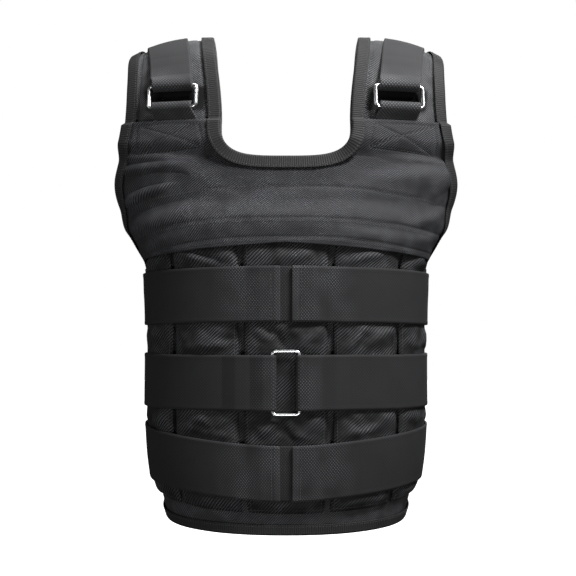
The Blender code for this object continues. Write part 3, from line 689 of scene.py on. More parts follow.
def wobble(u, v, size, seed, stretch=1.0):
    """Smooth noise between -1 and 1 that keeps its shape with its seed."""
    dice = np.random.default_rng(seed)
    table = dice.uniform(-1, 1, (64, 64))
    x, y = np.asarray(u) / size + 17.3, np.asarray(v) / (size * stretch) + 31.7
    i, j = np.floor(x).astype(int), np.floor(y).astype(int)
    s, t = x - i, y - j
    s, t = s * s * (3 - 2 * s), t * t * (3 - 2 * t)
    i, j = i % 63, j % 63
    low = table[i, j] * (1 - s) + table[i + 1, j] * s
    high = table[i, j + 1] * (1 - s) + table[i + 1, j + 1] * s
    return low * (1 - t) + high * t


def crease(away, width, depth):
    """A seam's groove: how far the cloth sinks at a distance from the stitch line."""
    return -depth * np.exp(-(away / width) ** 2)


# %% [markdown]
# ## Panels
# The inner shell goes round the whole torso. It shows between the pockets, below them and
# on the back. Both halves are laid in one sheet with its flat coordinates measured from
# the centre line.

# %% Front and back panel
PANEL_ROWS = np.concatenate([np.linspace(-1, 0, 110)[:-1], np.linspace(0, 8.0, 90)])
PANEL_COLUMNS = np.linspace(0, 1, 90)
PANEL_PAINTED_LIGHT_DROP = 0.430


def body_grid(rows, columns, back):
    """Places and runs of one half of the body."""
    inner, inner_run, outer, outer_run = body_rails(rows, back)
    around = inner[:, None] + columns * (outer - inner)[:, None]
    run = inner_run[:, None] + columns * (outer_run - inner_run)[:, None]
    return around, run


def hem_rise(around):
    """How far the hem lies above its lowest point, which is in the middle."""
    return HEM_RISE * np.minimum(around, 2 - around) ** 2


def panel(name, node, back):
    """Both halves of a panel, with painted light that makes it a little paler where the photo
    shows its lowest band.
    """
    grids = []
    top_run = torso.run_at(STUB_DROP) + PAD_TUCK + LAYER_GAP
    for hand in HANDS:
        around, run = body_grid(PANEL_ROWS, PANEL_COLUMNS, back)
        around = np.minimum(around, 1 - SEAM_GAP / torso.quarter)
        run = run - np.clip(-PANEL_ROWS, 0, 1)[:, None] * hem_rise(around)
        run = np.maximum(run, top_run)
        u = around * torso.quarter * hand
        lift = 0.25 * MM * wobble(u, run, 0.03, 5)
        lift = lift * ease(np.abs(1 - around), 0.0, 0.05)
        place = torso.point((2 - around if back else around) * hand, run, lift)
        # Painted light: paler below the bottom belt. The back panel is paler all over.
        painted_shading = 0.1 + 1.3 * ease(torso.drop_at(run), PANEL_PAINTED_LIGHT_DROP, PANEL_PAINTED_LIGHT_DROP + 0.012)
        painted_shading = np.maximum(painted_shading, 1.2 * back)
        grid = (place, np.stack([u, run], -1), painted_shading)
        grids.append(turned(*grid) if (hand == -1) != back else grid)
    cloth(name, node, grids, PANEL_THICK, panel_shell)


for word, back in (("front", False), ("back", True)):
    panel(f"{word}_panel_cloth", f"{word}_panel", back)

# %% [markdown]
# ## Yoke
# The yoke is the broad flap over the chest. Three seams run across it, and the arms' pull
# leaves slanting folds on both sides that catch the light. A cloth simulation would choose
# folds of its own, so these are placed by the photo from a short table. The seams sink into
# the cloth, and its lower edge stands free of the pockets.

# %% Yoke seams and folds
YOKE_COLUMNS = np.linspace(0, 1, 130)
YOKE_ROWS = np.linspace(1, 9, 168)
# Seams across the yoke: drop at the centre and at the side, half width and rows of stitches
YOKE_SEAMS = ((0.1420, 0.1570, 0.125, 1), (0.1732, 0.1790, 0.150, 2),
              (0.1905, 0.1990, 0.150, 2))
# Folds: u to the right, drop, slant in degrees, half length, half width, height
YOKE_RIDGES = (
    (0.108, 0.1320, -5, 0.044, 0.0110, 4.2 * MM),
    (0.040, 0.1480, -4, 0.050, 0.0100, 1.4 * MM),
    (0.060, 0.1900, -6, 0.050, 0.0060, 1.6 * MM),
    (0.100, 0.1150, 5, 0.034, 0.0036, 1.8 * MM),
    (0.098, 0.1275, -8, 0.036, 0.0060, 1.6 * MM),
    (0.134, 0.1430, 10, 0.014, 0.0080, -3.4 * MM),
    (0.122, 0.1640, -22, 0.026, 0.0055, 2.4 * MM),
    (0.070, 0.1330, -38, 0.024, 0.0080, 1.0 * MM),
    (0.030, 0.1600, 4, 0.040, 0.0080, 1.2 * MM),
    (0.120, 0.1860, -14, 0.034, 0.0060, 1.8 * MM),
    (0.052, 0.1840, 5, 0.030, 0.0050, 1.0 * MM),
    (-0.105, 0.1115, 4, 0.034, 0.0034, 3.0 * MM),
    (-0.110, 0.1220, -4, 0.036, 0.0036, 3.6 * MM),
    (-0.100, 0.1345, -7, 0.028, 0.0052, -4.6 * MM),
    (-0.112, 0.1470, -18, 0.036, 0.0040, 4.8 * MM),
    (-0.110, 0.1580, -16, 0.034, 0.0070, -2.4 * MM),
    (-0.094, 0.1680, -20, 0.030, 0.0055, 2.4 * MM),
    (-0.130, 0.1740, -20, 0.030, 0.0060, 1.6 * MM),
    (-0.072, 0.1240, 34, 0.024, 0.0060, 1.4 * MM),
    (-0.036, 0.1580, -6, 0.036, 0.0080, 1.2 * MM),
    (-0.110, 0.1900, -10, 0.040, 0.0050, 1.4 * MM),
)
# Small unevenness: height, size, seed and stretch
YOKE_WOBBLES = ((0.5 * MM, 0.022, 11, 0.5), (0.2 * MM, 0.008, 12, 0.8))
# Grooves of stitch lines: half width and depth
SEAM_GROOVE, BOX_GROOVE = (1.6 * MM, 0.6 * MM), (1.3 * MM, 0.55 * MM)
PAD_GROOVE = (1.3 * MM, 0.9 * MM)
# Crossed box on each stub: corners by distance from the centre and drop, and its lines
BOX_CORNERS = ((0.0590, 0.0830), (0.1030, 0.0830), (0.1060, 0.1100), (0.0560, 0.1040))
BOX_LINES = ((0, 1), (1, 2), (2, 3), (3, 0), (0, 2), (1, 3))


def seam_drop(seam, u):
    """Drop of a yoke seam at a distance from the centre line."""
    centre, side = seam[:2]
    return centre + (side - centre) * ease(np.abs(u), 0.02, 0.16)


def stub_seams(u, drop):
    """Grooves of the crossed box that sews the yoke to a pad."""
    total = np.zeros(np.broadcast(u, drop).shape)
    for first, second in BOX_LINES:
        start, end = np.array(BOX_CORNERS[first]), np.array(BOX_CORNERS[second])
        across, down = end - start
        long = np.hypot(across, down)
        along = ((u - start[0]) * across + (drop - start[1]) * down) / long
        nearest = np.clip(along, 0, long) / long
        away = np.hypot(u - start[0] - nearest * across, drop - start[1] - nearest * down)
        total = np.minimum(total, crease(away, *BOX_GROOVE))
    return total


# %% Yoke sheets
def yoke(name, node, back):
    """Both halves of a yoke, with its folds on the front one alone."""
    grids = []
    for hand in HANDS:
        around, run = body_grid(YOKE_ROWS, YOKE_COLUMNS, back)
        u = around * torso.quarter
        drop = torso.drop_at(run)
        lift = yoke_lift(2 - around if back else around, run)
        edge = 1 - ease(YOKE_COLUMNS, 0.88, 0.97)[None, :]
        folds = np.zeros_like(lift)
        if not back:
            folds = ridges(u * hand, drop, YOKE_RIDGES) * edge
        for height, size, seed, stretch in YOKE_WOBBLES:
            folds = folds + height * wobble(u * hand, drop, size, seed, stretch) * edge
        for seam in YOKE_SEAMS:
            folds = folds + crease(drop - seam_drop(seam, u), *SEAM_GROOVE)
        folds = folds + stub_seams(u, drop)
        inner_lift = np.maximum(lift + folds, PANEL_THICK + LAYER_GAP)
        place = torso.point((2 - around if back else around) * hand, run, inner_lift)
        # Painted light and shade: fold tops are paler, and seam grooves, stitch grooves and
        # hollows darker.
        painted_shading = np.clip(0.3 + folds / (2.5 * MM), 0, 1)
        grid = (place, np.stack([u * hand, run], -1), painted_shading)
        grids.append(turned(*grid) if (hand == -1) != back else grid)
    cloth(name, node, grids, YOKE_THICK, yoke_shell)


for word, back in (("front", False), ("back", True)):
    yoke(f"{word}_yoke_cloth", f"{word}_yoke", back)

# %% [markdown]
# ## Shoulder pads
# A pad is a strip of foam in the same nylon, flattened where its edges are bound and
# sewn a few millimetres in. It could be a box with rounded edges, but a strip on the torso
# surface follows the shoulder and keeps its weave straight. Seen through the rings it lies
# in deep shade, so its outer skin is darker there.

# %% Pads
PAD_COLUMNS = np.linspace(0, 1, 60)
PAD_SEAM_IN, PAD_EDGE_SHARE, PAD_EDGE_WIDTH = 0.0085, 0.72, 0.006
PAD_TONE, SLOT_SHADE, SLOT_HALF_LENGTH, SLOT_HALF_WIDTH = 0.3, 9.0, 0.009, 0.018
STRAP_WIDTH, STRAP_CENTRE, STRAP_TOP_CENTRE = 0.038, 0.1052, 0.1185
RING_DROP, SHOULDER_RING_LENGTH, RING_STANDOFF = 0.0562, 0.0245, 0.9 * MM


def pad(name, node, hand):
    """Foam from the front stub over the shoulder to the back one."""
    stub = torso.run_at(STUB_DROP)
    climbs = np.linspace(-PAD_TUCK / stub, 1, 90)
    rows_place, rows_flat, rows_thick, rows_painted_shading = [], [], [], []
    for back, order in ((False, climbs), (True, climbs[::-1][1:])):
        inner, run, outer, _ = pad_rails(order, back)
        around = inner[:, None] + PAD_COLUMNS * (outer - inner)[:, None]
        run = np.broadcast_to(run[:, None], around.shape)
        place = torso.point((2 - around if back else around) * hand, run, 0 * run)
        wide = (outer - inner)[:, None] * torso.quarter
        from_edge = np.minimum(PAD_COLUMNS, 1 - PAD_COLUMNS)[None, :] * wide
        signed = run if back else -run
        u = (PAD_COLUMNS[None, :] - 0.5) * wide + 0 * run
        full = ease(from_edge, 0.0, PAD_EDGE_WIDTH)
        swell = PAD_THICK * (PAD_EDGE_SHARE + (1 - PAD_EDGE_SHARE) * full)
        swell = swell + crease(from_edge - PAD_SEAM_IN, *PAD_GROOVE)
        swell = swell + 0.35 * MM * wobble(u, signed, 0.014, 21) * ease(from_edge, 0.01, 0.02)
        rows_place.append(place)
        rows_flat.append(np.stack([u, signed], -1))
        rows_thick.append(swell)
        ring_run = torso.run_at(RING_DROP)
        # Painted shade: the outer skin is darker where the slot of the rings shows the pad.
        shade = (1 - ease(np.abs(run - ring_run), SLOT_HALF_LENGTH, SLOT_HALF_LENGTH + 0.005))
        aside = np.abs(around - torso.around_at(STRAP_CENTRE, ring_run)) * torso.quarter
        shade = shade * (1 - ease(aside, SLOT_HALF_WIDTH, SLOT_HALF_WIDTH + 0.005)) * (not back)
        rows_painted_shading.append(PAD_TONE - SLOT_SHADE * shade)
    layers = [np.concatenate(rows) for rows in (rows_place, rows_flat, rows_thick, rows_painted_shading)]
    place, flat, thick, painted_shading = turned(*layers) if hand == -1 else layers
    faces = grid_faces(*place.shape[:2])
    places, quads, uvs, tops = walled(place.reshape(-1, 3), faces, flat.reshape(-1, 2),
                                      painted_shading.reshape(-1), thick.reshape(-1), 3, 0.6)
    # The inner skin keeps the plain tone, without the painted shade.
    tops[painted_shading.size:2 * painted_shading.size] = PAD_TONE
    made = to_object(name, places, quads, uvs, tops, pad_shell)
    settle(made, node)


for hand, word in HANDS.items():
    pad(f"shoulder_pad_{word}_foam", f"shoulder_pad_{word}", hand)

# %% [markdown]
# ## Bindings
# Ribbed tape is folded over the edges of the neck, the armholes and the hem. Its section
# is an outer leg, a rounded lip and an inner leg, swept along the edge. Each point of the
# edge knows how many layers the tape has to clear there.


# %% Tape along an edge
TAPE_LIP = 0.006
TAPE_SHARES = (1.0, 0.95, 0.85, 0.65, 0.35, 0.12, 0.04, 0.0)


def shifted(around, run, step):
    """Place reached from another by a step along the cloth."""
    small = np.where(around > 1, -0.004, 0.004)
    here = torso.bare(around, run)
    by_around = (torso.bare(around + small, run) - here) / small[:, None]
    by_run = (torso.bare(around, run + 0.004) - here) / 0.004
    aa, ab, bb = ((x * y).sum(-1) for x, y in ((by_around, by_around), (by_around, by_run),
                                               (by_run, by_run)))
    sa, sb = (by_around * step).sum(-1), (by_run * step).sum(-1)
    whole = aa * bb - ab * ab
    return around + (sa * bb - sb * ab) / whole, run + (sb * aa - sa * ab) / whole


def yoke_cover(around, run):
    """Lift of the tape's outer leg: over the yoke, then on the panel under the arm."""
    folded = np.minimum(around, 2 - around)
    on_yoke = yoke_lift(around, run) + YOKE_THICK + TAPE_GAP
    on_panel = PANEL_THICK + TAPE_GAP
    return on_yoke + ease(folded, CHEST_ROWS[1][3], 1.0) * (on_panel - on_yoke)


def binding_grid(around, run, cover, width, side, closed):
    """Sweep the tape's section along an edge of places on the right half."""
    rail = torso.bare(around, run)
    before, after = np.roll(rail, 1, 0), np.roll(rail, -1, 0)
    if not closed:
        before[0] = after[0] * MIRROR
        after[-1] = before[-1] * MIRROR
    inward = unit(np.cross(after - before, torso.normal(around, run))) * side
    length = length_along(np.linalg.norm(np.diff(rail, axis=0), axis=1))
    leg_around, leg_run = shifted(around, run, inward * width)
    lip_around, lip_run = shifted(around, run, inward * -LAYER_GAP)
    if not closed:
        for end in (0, -1):
            leg_around[end] = lip_around[end] = around[end]
    top = cover(around, run)
    leg_top = np.maximum(top, cover(leg_around, leg_run))
    leg = leg_around - lip_around, leg_run - lip_run
    columns, flats = [], []
    for share in TAPE_SHARES:
        place = lip_around + share * leg[0], lip_run + share * leg[1]
        columns.append(torso.point(*place, top + share * (leg_top - top)))
        flats.append(-share * width)
    tall = top + TAPE_LINING_GAP
    reach = np.minimum(0.15 * tall, 0.7 * MM)
    lip = torso.point(lip_around, lip_run, top)
    foot = torso.point(lip_around, lip_run, 0 * top - TAPE_LINING_GAP)
    for share in (0.2, 0.4, 0.6, 0.8, 1.0):
        columns.append(lip + (foot - lip) * share
                       - inward * (reach * math.sin(math.pi * share))[:, None])
        flats.append(share * TAPE_LIP)
    for share in (0.5, 1.0):
        place = lip_around + share * leg[0], lip_run + share * leg[1]
        columns.append(torso.point(*place, 0 * top - TAPE_LINING_GAP))
        flats.append(TAPE_LIP + share * width)
    place = np.stack(columns, 1)
    flat = np.stack([np.broadcast_to(length[:, None], place.shape[:2]),
                     np.broadcast_to(np.array(flats)[None, :], place.shape[:2])], -1)
    if closed:
        place = np.concatenate([place, place[:1]])
        last = flat[:1].copy()
        last[..., 0] = length[-1] + 0.0015
        flat = np.concatenate([flat, last])
    if side == 1:
        place, flat = turned(place, flat)
    return place, flat, 0.3


def mirrored_grid(grid):
    """The grid on the other side of the vest."""
    place, flat, painted_shading = grid
    return (*turned(place * MIRROR, flat * MIRROR[:2]), painted_shading)


# %% Edges that carry tape
def edge_places(inner, first_row):
    """One edge up the front, over the pad and down the back."""
    rows = np.linspace(first_row, 9, 160)[:-1]
    climbs = np.linspace(0, 1, 60)[1:]
    around, run = [], []
    for back in (False, True):
        body = body_rails(rows, back)
        strip = pad_rails(climbs, back)
        pick = 0 if inner else 2
        a = np.concatenate([body[pick], strip[pick]])
        r = np.concatenate([body[pick + 1], strip[pick + 1]])
        if back:
            a, r = 2 - a[::-1][1:], r[::-1][1:]
        around.append(a)
        run.append(r)
    return np.concatenate(around), np.concatenate(run)


def edge_cover(around, run):
    """Clear the yoke below the stubs and the bare pad above them."""
    stub = torso.run_at(STUB_DROP)
    on_pad = PAD_THICK + TAPE_GAP
    return on_pad + ease(run, stub - 0.001, stub + 0.002) * (yoke_cover(around, run) - on_pad)


# %% The four bindings
NECK_WIDTH, ARMHOLE_WIDTH, HEM_WIDTH = 0.0105, 0.0090, 0.0085
around, run = edge_places(True, 5)
half = binding_grid(around, run, edge_cover, NECK_WIDTH, 1, False)
cloth("neck_binding_tape", "neck_binding", [half, mirrored_grid(half)], BINDING_THICK, tape)
around, run = edge_places(False, 0)
half = binding_grid(around[:-1], run[:-1], edge_cover, ARMHOLE_WIDTH, -1, True)
for word, grid in (("right", half), ("left", mirrored_grid(half))):
    cloth(f"armhole_binding_{word}_tape", f"armhole_binding_{word}", [grid], BINDING_THICK,
          tape)


def hem_cover(around, run):
    """Clear the panel alone."""
    return 0 * run + PANEL_THICK + TAPE_GAP


around = np.linspace(0, 2, 260)
half = binding_grid(around, torso.run_at(BODY_DROP) - hem_rise(around), hem_cover, HEM_WIDTH,
                    -1, False)
cloth("hem_binding_tape", "hem_binding", [half, mirrored_grid(half)], BINDING_THICK, tape)

# %% [markdown]
# ## Pockets
# Each column is a long pouch sewn down at both sides and below, with its mouth under the
# yoke. The weights push it out, the belts press it flat, and the cloth between the belts
# gathers in slanting puckers. The large ones are laid by the photo. Blender's cloth then
# simulates a sheet that is a little too large for its place, and it buckles into the rest.

# %% Slack cloth
SIM_FRAMES, SIM_STEP, SIM_SURPLUS = 16, 0.0036, 0.045
MOST_OUT, MOST_IN, SIM_SMOOTH = 3.2 * MM, -1.6 * MM, 12


def resampled(grid, rows, columns):
    """A coarse grid of vectors read at more rows and columns."""
    at_row, at_column = (np.linspace(0, many - 1, wanted) for many, wanted in
                         zip(grid.shape, (rows, columns)))
    i = np.minimum(at_row.astype(int), grid.shape[0] - 2)
    j = np.minimum(at_column.astype(int), grid.shape[1] - 2)
    s, t = (at_row - i)[:, None, None], (at_column - j)[None, :, None]
    upper = grid[i][:, j] * (1 - t) + grid[i][:, j + 1] * t
    lower = grid[i + 1][:, j] * (1 - t) + grid[i + 1][:, j + 1] * t
    return upper * (1 - s) + lower * s


def buckled(place, free, out):
    """Shift of each point once a sheet with surplus cloth has buckled where it is free."""
    rows, columns = place.shape[:2]
    long = np.linalg.norm(np.diff(place[:, columns // 2], axis=0), axis=1).sum()
    wide = np.linalg.norm(np.diff(place[rows // 2], axis=0), axis=1).sum()
    few = [max(8, int(size / SIM_STEP)) for size in (long, wide)]
    coarse = resampled(place, *few)
    loose = resampled(free[..., None], *few).reshape(-1)
    mesh = bpy.data.meshes.new("slack")
    mesh.from_pydata(coarse.reshape(-1, 3).tolist(), [], grid_faces(*few).tolist())
    made = bpy.data.objects.new("slack", mesh)
    bpy.context.scene.collection.objects.link(made)
    held = made.vertex_groups.new(name="held")
    for index, share in enumerate(loose.tolist()):
        held.add([index], 1 - share, "REPLACE")
    simulation = made.modifiers.new("cloth", "CLOTH")
    values = simulation.settings
    values.quality, values.mass = 5, 0.1
    values.tension_stiffness = values.compression_stiffness = 20
    values.shear_stiffness, values.bending_stiffness = 5, 3.0
    values.vertex_group_mass = "held"
    values.shrink_min = values.shrink_max = -SIM_SURPLUS
    values.use_pressure, values.uniform_pressure_force = True, 2.0
    values.effector_weights.gravity = 0.3
    simulation.collision_settings.use_collision = False
    for step in range(1, SIM_FRAMES + 1):
        bpy.context.scene.frame_set(step)
    evaluated = made.evaluated_get(bpy.context.evaluated_depsgraph_get())
    after = np.zeros(len(loose) * 3, np.float32)
    evaluated.data.vertices.foreach_get("co", after)
    bpy.data.objects.remove(made)
    bpy.context.scene.frame_set(1)
    shift = resampled(after.reshape(*few, 3) - coarse, rows, columns)
    for _ in range(SIM_SMOOTH):
        inner = shift[1:-1, 1:-1]
        inner += 0.2 * (shift[:-2, 1:-1] + shift[2:, 1:-1] + shift[1:-1, :-2] + shift[1:-1, 2:]
                        - 4 * inner)
    shift = shift * free[..., None]
    high = (shift * out).sum(-1, keepdims=True)
    shift = shift + (np.clip(high, MOST_IN, MOST_OUT) - high) * out
    print(f"  slack cloth moves by up to {np.abs(high).max() * 1000:.1f} mm")
    return shift


# %% Pocket columns
POCKET_HALF_CENTRE, POCKET_WIDE_CHANNEL, POCKET_MID_WIDTH = 0.0370, 0.0070, 0.0600
POCKET_THIN_CHANNEL, POCKET_SIDE_WIDTH = 0.0048, 0.0620
POCKET_END_DROP, POCKET_END_LIFT, POCKET_END_ROUND = 0.4430, 0.0200, 0.0100
POCKET_HIGH_DROP, POCKET_HIGH_START, POCKET_HIGH_END = 0.214, 0.55, 0.80
POCKET_FREE_DROP, POCKET_LEAST_RISE, POCKET_SAG = 0.196, 0.35, 1.6 * MM
POCKET_COLUMN_STEP, BELT_SHADOW = 0.0011, 0.010
BELT_WIDTH = 0.050
TOP_BELT_DROP, MIDDLE_BELT_DROP, BOTTOM_BELT_DROP = 0.2415, 0.3230, 0.4060
TOP_BELT_DIP, BOTTOM_BELT_DIP = -0.0030, 0.0150
BELTS = ((TOP_BELT_DROP, TOP_BELT_DIP), (MIDDLE_BELT_DROP, 0.0),
         (BOTTOM_BELT_DROP, BOTTOM_BELT_DIP))
# Puckers: u to the right, drop, slant in degrees, half length, half width, height
POCKET_RIDGES = (
    (0.000, 0.3670, 58, 0.024, 0.0050, -1.4 * MM), (0.009, 0.3640, 58, 0.024, 0.0055, 1.3 * MM),
    (-0.020, 0.3680, -35, 0.016, 0.0050, 1.2 * MM), (0.026, 0.3600, -50, 0.014, 0.0050, 1.2 * MM),
    (-0.020, 0.2800, 48, 0.020, 0.0050, 1.2 * MM), (-0.006, 0.2850, 60, 0.020, 0.0050, -1.2 * MM),
    (0.020, 0.2840, -30, 0.018, 0.0050, 1.2 * MM), (0.062, 0.2840, -58, 0.018, 0.0042, 1.8 * MM),
    (0.070, 0.2860, -58, 0.018, 0.0042, -1.5 * MM), (0.088, 0.2800, -20, 0.016, 0.0045, 1.4 * MM),
    (-0.070, 0.2900, -8, 0.026, 0.0045, 1.6 * MM), (-0.062, 0.2810, 20, 0.020, 0.0045, -1.2 * MM),
    (-0.060, 0.3720, 10, 0.024, 0.0045, 1.5 * MM), (-0.076, 0.3640, 14, 0.022, 0.0045, -1.2 * MM),
    (0.066, 0.3700, -12, 0.024, 0.0045, 1.5 * MM), (0.084, 0.3620, -35, 0.018, 0.0045, 1.2 * MM),
    (-0.080, 0.2080, 24, 0.024, 0.0036, 2.0 * MM), (-0.060, 0.2120, 28, 0.020, 0.0034, -1.6 * MM),
    (0.066, 0.2100, -20, 0.024, 0.0040, 1.6 * MM), (0.004, 0.4500, 0, 0.030, 0.0030, 1.8 * MM),
)


def belt_drop(around, centre, dip):
    """Height of a belt's middle line."""
    return centre - dip * ease(np.minimum(np.abs(around), 1.0), 0.0, 1.0)


def under_belts(around, drop):
    """1 beneath a belt and 0 between them."""
    total = np.zeros(np.broadcast(around, drop).shape)
    for centre, dip in BELTS:
        away = np.abs(drop - belt_drop(around, centre, dip))
        free = ease(away, BELT_WIDTH / 2 - 0.001, BELT_WIDTH / 2 + BELT_SHADOW)
        total = np.maximum(total, 1 - free)
    return total


# %% One pouch
def pocket(name, node, start, end, hand, seed):
    """A pouch between two distances from the centre line, on one side of it."""
    u = np.linspace(start, end, max(40, int((end - start) / POCKET_COLUMN_STEP)))
    share = np.linspace(1, 0, 230)[:, None]
    around = np.abs(u[None, :]) / torso.quarter + 0 * share
    under_arm = ease(around, POCKET_HIGH_START, POCKET_HIGH_END)
    first_run = torso.run_at(POCKET_TOP_DROP + under_arm * (POCKET_HIGH_DROP - POCKET_TOP_DROP))
    last_run = torso.run_at(POCKET_END_DROP - POCKET_END_LIFT * around ** 2)
    run = first_run + share * (last_run - first_run)
    drop = torso.drop_at(run)
    from_side = np.minimum(u - start, end - u)[None, :] + 0 * share
    full = ease(from_side, -0.0015, 0.0065) ** 0.6
    closing = ease(last_run - run, 0.0, POCKET_END_ROUND) ** 0.5
    rise = POCKET_DEPTH - POCKET_THICK - LINING_GAP
    pressed = under_belts(around, drop)
    flat_u = u[None, :] * hand + 0 * share
    slack = (1.1 * MM * wobble(flat_u, drop, 0.022, seed, 0.8)
             + 0.9 * MM * wobble(flat_u + drop, drop - flat_u, 0.014, seed + 1, 2.2)
             + 0.3 * MM * wobble(flat_u, drop, 0.005, seed + 2)
             + ridges(flat_u, drop, POCKET_RIDGES))
    sag = POCKET_SAG * ease(from_side, 0.0, 0.03)
    below_yoke = ease(drop, POCKET_FREE_DROP, POCKET_FREE_DROP + 0.012)
    stand = rise + (slack + sag - 0.2 * MM) * (1 - pressed) * below_yoke
    stand = np.maximum(stand, POCKET_LEAST_RISE * rise)
    lift = PANEL_THICK + LINING_GAP + stand * full * closing
    signed = around * hand * np.sign(u + 1e-9)[None, :]
    place, out = torso.point(signed, run, lift), torso.normal(signed, run)
    # Painted light and shade: pucker tops are paler and their hollows darker, except where the
    # belts press.
    painted_shading = np.clip(0.15 + slack / (2.2 * MM) * (1 - pressed), -0.6, 1)
    free = ((1 - pressed) * ease(from_side, 0.002, 0.012) * ease(last_run - run, 0.004, 0.014)
            * ease(drop, POCKET_FREE_DROP, POCKET_FREE_DROP + 0.010))
    grid = (place, np.stack([flat_u, run], -1), painted_shading, free, out)
    place, flat, painted_shading, free, out = turned(*grid) if hand == -1 else grid
    place = place + buckled(place, free, out)
    cloth(name, node, [(place, flat, painted_shading)], POCKET_THICK, pocket_shell)


# %% The five pouches
pocket("pocket_centre_cloth", "pocket_centre", -POCKET_HALF_CENTRE, POCKET_HALF_CENTRE, 1, 40)
mid = POCKET_HALF_CENTRE + POCKET_WIDE_CHANNEL
side = mid + POCKET_MID_WIDTH + POCKET_THIN_CHANNEL
for hand, word in HANDS.items():
    pocket(f"pocket_mid_{word}_cloth", f"pocket_mid_{word}", mid, mid + POCKET_MID_WIDTH,
           hand, 50 + hand)
    pocket(f"pocket_side_{word}_cloth", f"pocket_side_{word}", side,
           side + POCKET_SIDE_WIDTH, hand, 60 + hand)

# %% [markdown]
# ## Belts
# Wide webbing goes from the front round each side to the back. A belt is a strip along a
# path of places and lifts, with a raised woven edge. The top and bottom pairs end flat on
# a loop patch. The middle pair folds back round the tall ring.

# %% Belt strips
BELT_TAIL, PATCH_WIDTH, BELT_RING_WIDTH = 0.030, 0.046, 0.0280
RING_WIRE, RING_PLAY, RING_SIDE_PLAY, RING_CORNER = 3.0 * MM, 0.8 * MM, 2.4 * MM, 3.5 * MM
BELT_STEP, BELT_SLOPE, BACK_STEP = 0.0010, 0.012, 0.03
BELT_SWAY, BELT_WAVE, WOVEN_EDGE, HEM_RIDGE = 0.45 * MM, 0.5 * MM, 0.22 * MM, 0.45 * MM
ON_POCKETS = PANEL_THICK + POCKET_DEPTH + LAYER_GAP


def belt_to_back(start):
    """Places and lifts from past a belt's end on the front to the back's middle."""
    low = PANEL_THICK + LINING_GAP
    end = 2 - SEAM_GAP / torso.quarter
    places = np.arange(start + BACK_STEP, end, BACK_STEP)
    path = [(place, ON_POCKETS + ease(place, 1.0, 1.2) * (low - ON_POCKETS)) for place in places]
    return path + [(end, low)]


def evenly(path, step):
    """A path of pairs with points a step apart: first values, second values and lengths."""
    path = np.array(path)
    long = length_along(np.hypot(*np.diff(path, axis=0).T))
    at = np.linspace(0, long[-1], int(long[-1] / step) + 1)
    return np.interp(at, long, path[:, 0]), np.interp(at, long, path[:, 1]), at


def belt(name, node, path, centre, dip, hand, seed, hem_at):
    """A belt on its path, with woven edges and a slow wave."""
    u, lift, at = evenly([(place * torso.quarter, lift) for place, lift in path], BELT_STEP)
    around = u / torso.quarter
    v = np.linspace(0.5, -0.5, 28)[:, None]
    middle = torso.run_at(belt_drop(around, centre, dip))
    edge = ease(np.abs(v), 0.455, 0.495)
    free = ease(at, 0.02, 0.06)[None, :]
    sway = BELT_SWAY * wobble(at[None, :], v * BELT_WIDTH * 0.4, 0.045, seed) * free
    wave = BELT_WAVE * wobble(at[None, :], 0 * v, 0.05, seed + 7) * free
    woven_edge = WOVEN_EDGE * np.exp(-((np.abs(v) - 0.47) / 0.022) ** 2)
    high = lift[None, :] + np.abs(sway) + woven_edge + 0 * v
    band = 0 * at[None, :]
    if hem_at is not None:
        band = 1 - ease(at, hem_at - 0.0006, hem_at + 0.0006)[None, :]
        high = high + HEM_RIDGE * band
    run = middle[None, :] + v * BELT_WIDTH + wave
    place = torso.point(np.broadcast_to(around, run.shape) * hand, run, high)
    flat = np.stack([np.broadcast_to(at[None, :] * hand, run.shape),
                     np.broadcast_to(v * BELT_WIDTH, run.shape)], -1)
    # Painted light: the woven edges and the end hem band are paler.
    painted_shading = 0.25 + 0.5 * edge + 0.9 * band + 0 * run
    grid = turned(place, flat, painted_shading) if hand == -1 else (place, flat, painted_shading)
    cloth(name, node, [grid], BELT_THICK, belt_webbing)


# %% Belt ends
def plain_end(end):
    """Path of a belt that ends flat on its patch."""
    over = ON_POCKETS + PATCH_THICK + LAYER_GAP
    patch_edge = PATCH_WIDTH / 2 + LAYER_GAP
    path = [(end, over), (patch_edge, over), (patch_edge + BELT_SLOPE, ON_POCKETS)]
    path = [(x / torso.quarter, lift) for x, lift in path]
    return path + belt_to_back(path[-1][0])


def arc_round(bar, lift, reach, angles):
    """Points round a bar at angles in degrees, on the side of smaller places."""
    return [(bar - reach * math.cos(turn), lift + reach * math.sin(turn))
            for turn in map(math.radians, angles)]


def ring_end():
    """Path of a belt folded back round the ring's side bar, its tail behind."""
    bar = BELT_RING_WIDTH / 2 - RING_WIRE / 2
    tail_lift = ON_POCKETS + BELT_THICK
    bar_lift = tail_lift + LAYER_GAP + RING_WIRE / 2
    reach = RING_WIRE / 2 + LAYER_GAP
    path = [(bar + BELT_TAIL, tail_lift), (bar + BELT_TAIL / 2, tail_lift)]
    path += arc_round(bar, bar_lift, reach, range(-90, 91, 10))
    slope_start = bar + BELT_TAIL / 4
    path.append((slope_start, bar_lift + reach))
    path.append((slope_start + BELT_SLOPE, tail_lift + LAYER_GAP))
    path.append((bar + BELT_TAIL + BELT_THICK, tail_lift + LAYER_GAP))
    path.append((bar + BELT_TAIL + BELT_THICK + BELT_SLOPE, ON_POCKETS))
    path = [(x / torso.quarter, lift) for x, lift in path]
    return path + belt_to_back(path[-1][0])


# %% The six belts
# Belts: name, path, drop, dip, seed and where the band of its end hem stops
BELT_ROWS = (
    ("top_belt", plain_end(0.0055), TOP_BELT_DROP, TOP_BELT_DIP, 70, 0.0052),
    ("middle_belt", ring_end(), MIDDLE_BELT_DROP, 0.0, 80, None),
    ("bottom_belt", plain_end(0.0060), BOTTOM_BELT_DROP, BOTTOM_BELT_DIP, 90, 0.0052),
)
for hand, word in HANDS.items():
    for level, path, drop, dip, seed, hem_at in BELT_ROWS:
        belt(f"{level}_{word}_webbing", f"{level}_{word}", path, drop, dip, hand, seed + hand,
             hem_at)


